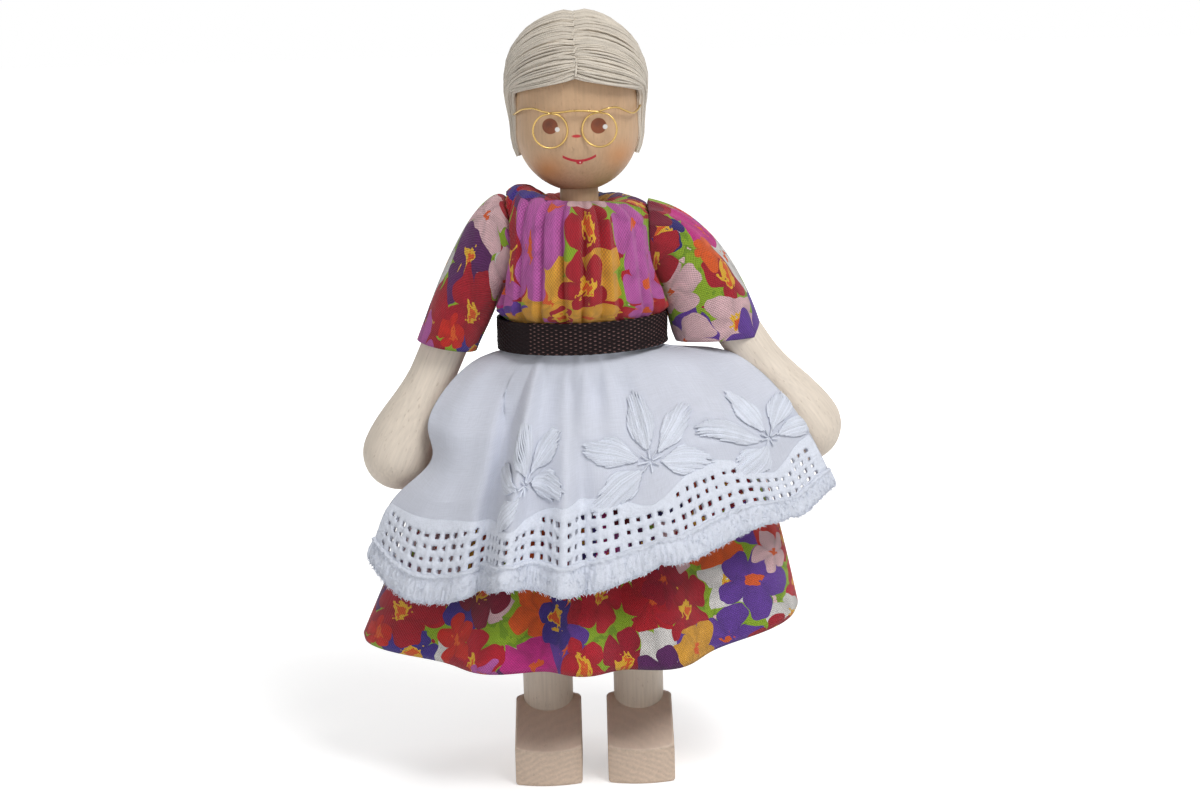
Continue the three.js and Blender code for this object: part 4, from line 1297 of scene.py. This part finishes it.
class DOLL_OT_apron(DollOperator):
    """Hang the white apron with its eyelets, scalloped border and embroidery"""

    bl_idname = "doll.apron"
    bl_label = "Apron"

    # Rows of the cloth's grid: the height of one in the lower part, how many, and where the eyelets start.
    ROW, LOW_ROWS, HIGH_ROWS, FIRST_EYELET = 0.475, 34, 34, 9
    # Embroidered flowers: how far above the edge, where along the hem from the middle one, which lies
    # this far left of the doll's middle, and the directions of the petals in degrees.
    FLOWER_UP, FLOWERS, FLOWER_SHIFT, PETALS = 17.6, (-28, 0, 26), 13.3, (100, 38, -16, -136, 168)

    def execute(self, context):
        self.cut = ApronCut(self.sizes.scallop_depth / MM)
        self.columns = 4 * round(self.cut.width / (self.sizes.eyelet_pitch / MM))
        thread = yarn("white_thread", self.colours.thread)
        border = self.make_border(thread)
        eyelets = self.make_eyelets(thread)
        embroidery = self.make_embroidery(thread)
        apron = self.make_cloth()
        return {"FINISHED"}

    def eyelet_rows(self, column):
        """How many eyelets lie above each other at this column of the grid."""
        block = column // 4
        if not 0 < block < self.columns // 4 - 1:
            return 0
        return int(self.rows_deep(self.cut.width * (4 * block + 2) / self.columns))

    def rows_deep(self, along):
        """How many rows of eyelets the strip has room for: more in the middle of a scallop."""
        return 3.2 + 1.5 * self.cut.lobe(along) ** 1.5

    def make_cloth(self):
        cut, rows = self.cut, self.LOW_ROWS + self.HIGH_ROWS
        length = cut.length + TUCKED

        def point(across, down):
            row = round(down * rows)
            along = cut.width * across
            if row >= self.HIGH_ROWS:
                return place(*cut.spot(along, (rows - row) * self.ROW))
            share = cut.share_down(along, self.LOW_ROWS * self.ROW) * row / self.HIGH_ROWS
            return place(*apron_point(cut.find(cut.samples, along), share))

        shape = cloth_grid(self.columns, rows, point, cut.width, length, False)
        flat = shape.loops.layers.uv["cloth"]
        holes = []
        for face in shape.faces:
            corners = [loop[flat].uv for loop in face.loops]
            column = round(min(corner.x for corner in corners) / cut.width * self.columns)
            step = round(min(corner.y for corner in corners) / length * rows)
            line, part = divmod(step - self.FIRST_EYELET, 4)
            if column % 4 in (1, 2) and part < 2 and 0 <= line < self.eyelet_rows(column):
                holes.append(face)
        bmesh.ops.delete(shape, geom=holes, context="FACES")
        return new_piece(
            "white_apron", shape, batiste(self.colours.batiste), None, ["apron"],
            self.sizes.batiste_thickness,
        )

    def make_eyelets(self, thread):
        """A raised strip of needlework with uneven holes, deepest in the middle of each scallop."""
        cut, pitch = self.cut, 4 * self.ROW
        dice = random.Random(3)
        bottom = (self.FIRST_EYELET - 1) * self.ROW
        block_width = 4 * cut.width / self.columns
        holes = {}
        for block in range(self.columns // 4):
            for line in range(self.eyelet_rows(4 * block)):
                aside, rise = dice.uniform(-0.17, 0.17), dice.uniform(-0.15, 0.15)
                holes[block, line] = (aside, rise, dice.uniform(0.28, 0.46))

        def top(along):
            return bottom + 0.5 + pitch * self.rows_deep(along)

        def hole_gap(along, up):
            """How far a place lies outside the nearest hole."""
            block, line = int(along / block_width), int((up - bottom) // pitch)
            if (block, line) not in holes:
                return 1.0
            aside, rise, radius = holes[block, line]
            x = along - (block + 0.5) * block_width - aside
            z = up - bottom - (line + 0.5) * pitch - rise
            return (x ** 4 + z ** 4) ** 0.25 - radius

        def where(across, down):
            along = cut.width * mix(0.004, 0.996, across)
            return along, mix(top(along), bottom - 0.7, down)

        def point(across, down):
            along, up = where(across, down)
            puffed = clamp(hole_gap(along, up) / 0.4)
            lumps = noise.noise((2.2 * along, 2.2 * up, 3)) + 0.6 * noise.noise((5 * along, 5 * up, 8))
            rim = min(1, 6 * (1 - down), 6 * down)
            return place(*cut.spot(along, up, 0.06 + rim * (0.12 + 0.22 * puffed + 0.14 * lumps)))

        columns, rows = int(cut.width / 0.2), 44
        shape = cloth_grid(columns, rows, point, columns, rows, False)
        flat = shape.loops.layers.uv["cloth"]
        open_faces = []
        for face in shape.faces:
            corners = [loop[flat].uv for loop in face.loops]
            across = sum(corner.x for corner in corners) / 4 / columns
            down = 1 - sum(corner.y for corner in corners) / 4 / rows
            if hole_gap(*where(across, down)) < 0:
                open_faces.append(face)
        bmesh.ops.delete(shape, geom=open_faces, context="FACES")
        thicken(shape, 0.22 * MM)
        return new_piece("apron_eyelets", shape, thread)

    def make_border(self, thread):
        """A thick scalloped edge sewn over with close stitches, under a cord, with loose fibres."""
        cut = self.cut
        low, high = -0.7, 4.1

        def height(along, up):
            pad = math.sqrt(max(0.04, 1 - ((up - 1.2) / 2.1) ** 2))
            stitches = noise.noise((2.3 * along, 0.35 * up, 0)) + 0.5 * noise.noise((5 * along, 0.9 * up, 9))
            cord = 0.5 * bump(up, 3.6, 0.4)
            lumps = noise.noise((1.3 * along, 2 * up, 4))
            return 0.12 + pad * (0.6 + 0.3 * stitches) + cord * (1 + 0.6 * lumps)

        def point(across, down):
            along, up = cut.width * across, mix(high, low, down)
            ragged = 0.25 * noise.noise((1.1 * along, 5, 0)) + 0.12 * noise.noise((4 * along, 7, 0))
            return place(*cut.spot(along, up + ragged, height(along, up)))

        shape = cloth_grid(int(cut.width / 0.2), 30, point, cut.width, high - low, False)
        thicken(shape, 0.25 * MM)
        dice = random.Random(21)
        fibres = []
        for _ in range(2400):
            along = dice.uniform(0.3, cut.width - 0.3)
            up = dice.uniform(low, high - 0.3) if dice.random() < 0.6 else dice.uniform(low, low + 0.5)
            lift = height(along, up)
            aside, rise = dice.uniform(-0.5, 0.5), dice.uniform(-0.6, 0.35)
            route = []
            for share, off in ((0, -0.05), (0.55, 0.16), (1, dice.uniform(0.05, 0.35))):
                at = min(cut.width, max(0, along + aside * share))
                route.append((place(*cut.spot(at, up + rise * share, lift + off)), 1 - 0.4 * share))
            fibres.append(route)
        add_shape(shape, swept(fibres, 0.11 * MM, 0))
        return new_piece("apron_border", shape, thread)

    def make_embroidery(self, thread):
        """Five-petalled flowers in satin stitch, one over each scallop."""
        dice = random.Random(5)
        routes = []
        middle, up = self.cut.middle + self.FLOWER_SHIFT, self.FLOWER_UP
        for shift in self.FLOWERS:
            along = middle + shift
            turn = math.radians(dice.uniform(-8, 8))
            for petal in self.PETALS:
                routes += self.petal(dice, along, up, math.radians(petal) + turn, 1.8, 11.0, 4.8)
            for knot in range(8):
                angle = knot * math.pi / 4
                routes.append([
                    (self.on_cloth(along, up, angle, 0.4, 0, 0.25), 0.9),
                    (self.on_cloth(along, up, angle, 1.8, 0, 0.3), 0.9),
                ])
        shape = swept(routes, self.sizes.thread_width)
        return new_piece("apron_embroidery", shape, thread)

    def on_cloth(self, along, up, angle, out, aside, lift):
        x = out * math.cos(angle) - aside * math.sin(angle)
        z = out * math.sin(angle) + aside * math.cos(angle)
        at = min(self.cut.width - 0.2, max(0.2, along + x * self.stretch(along, up)))
        return place(*self.cut.spot(at, up + z, lift))

    def stretch(self, along, up):
        """How many millimetres of hem stand under one millimetre of cloth at this height."""
        here = self.cut.spot(along - 0.5, up)
        there = self.cut.spot(along + 0.5, up)
        return 1 / max(0.4, (there - here).length)

    def petal(self, dice, along, up, angle, start, end, width):
        """Threads side by side that fill a leaf shape with ragged ends."""
        routes = []
        threads = 21
        for index in range(threads):
            share = 2 * (index + 0.5) / threads - 1
            aside = share * width / 2
            far = start + (end - start) * (0.5 + 0.5 * (1 - abs(share) ** 2.2)) + dice.uniform(-0.9, 0.5)
            near = start + (end - start) * 0.3 * abs(share) ** 1.5 + dice.uniform(-0.2, 0.3)
            crown = 0.12 + 0.36 * (1 - share * share)
            route = []
            for step in range(6):
                t = step / 5
                out = mix(near, far, t)
                narrow = mix(0.45, 1, min(1, (out - start) / (0.45 * (end - start))))
                lift = crown * math.sin(math.pi * mix(0.1, 0.92, t)) + 0.1 + dice.uniform(-0.03, 0.05)
                route.append((self.on_cloth(along, up, angle, out, aside * narrow, lift), 1.0))
            routes.append(route)
        return routes


class DOLL_PT_panel(bpy.types.Panel):
    """The doll's makers, sizes and colours"""

    bl_idname = "DOLL_PT_panel"
    bl_label = "Miniature doll"
    bl_space_type = "VIEW_3D"
    bl_region_type = "UI"
    bl_category = "Doll"

    def draw(self, context):
        for operator in OPERATORS:
            self.layout.operator(operator.bl_idname)
        for group in (context.scene.doll_sizes, context.scene.doll_colours):
            box = self.layout.box()
            for name in group.bl_rna.properties.keys():
                if name not in ("rna_type", "name"):
                    box.prop(group, name)


OPERATORS = (
    DOLL_OT_stage,
    DOLL_OT_wooden_body,
    DOLL_OT_head,
    DOLL_OT_hair,
    DOLL_OT_spectacles,
    DOLL_OT_arms,
    DOLL_OT_legs,
    DOLL_OT_bodice,
    DOLL_OT_sleeves,
    DOLL_OT_skirt,
    DOLL_OT_belt,
    DOLL_OT_apron,
)
CLASSES = (DollSizes, DollColours, *OPERATORS, DOLL_PT_panel)


def register():
    for entry in CLASSES:
        bpy.utils.register_class(entry)
    bpy.types.Scene.doll_sizes = PointerProperty(type=DollSizes)
    bpy.types.Scene.doll_colours = PointerProperty(type=DollColours)


def unregister():
    del bpy.types.Scene.doll_colours
    del bpy.types.Scene.doll_sizes
    for entry in reversed(CLASSES):
        bpy.utils.unregister_class(entry)


def main():
    register()
    for operator in OPERATORS:
        getattr(bpy.ops.doll, operator.bl_idname.split(".")[1])()


if __name__ == "__main__":
    main()
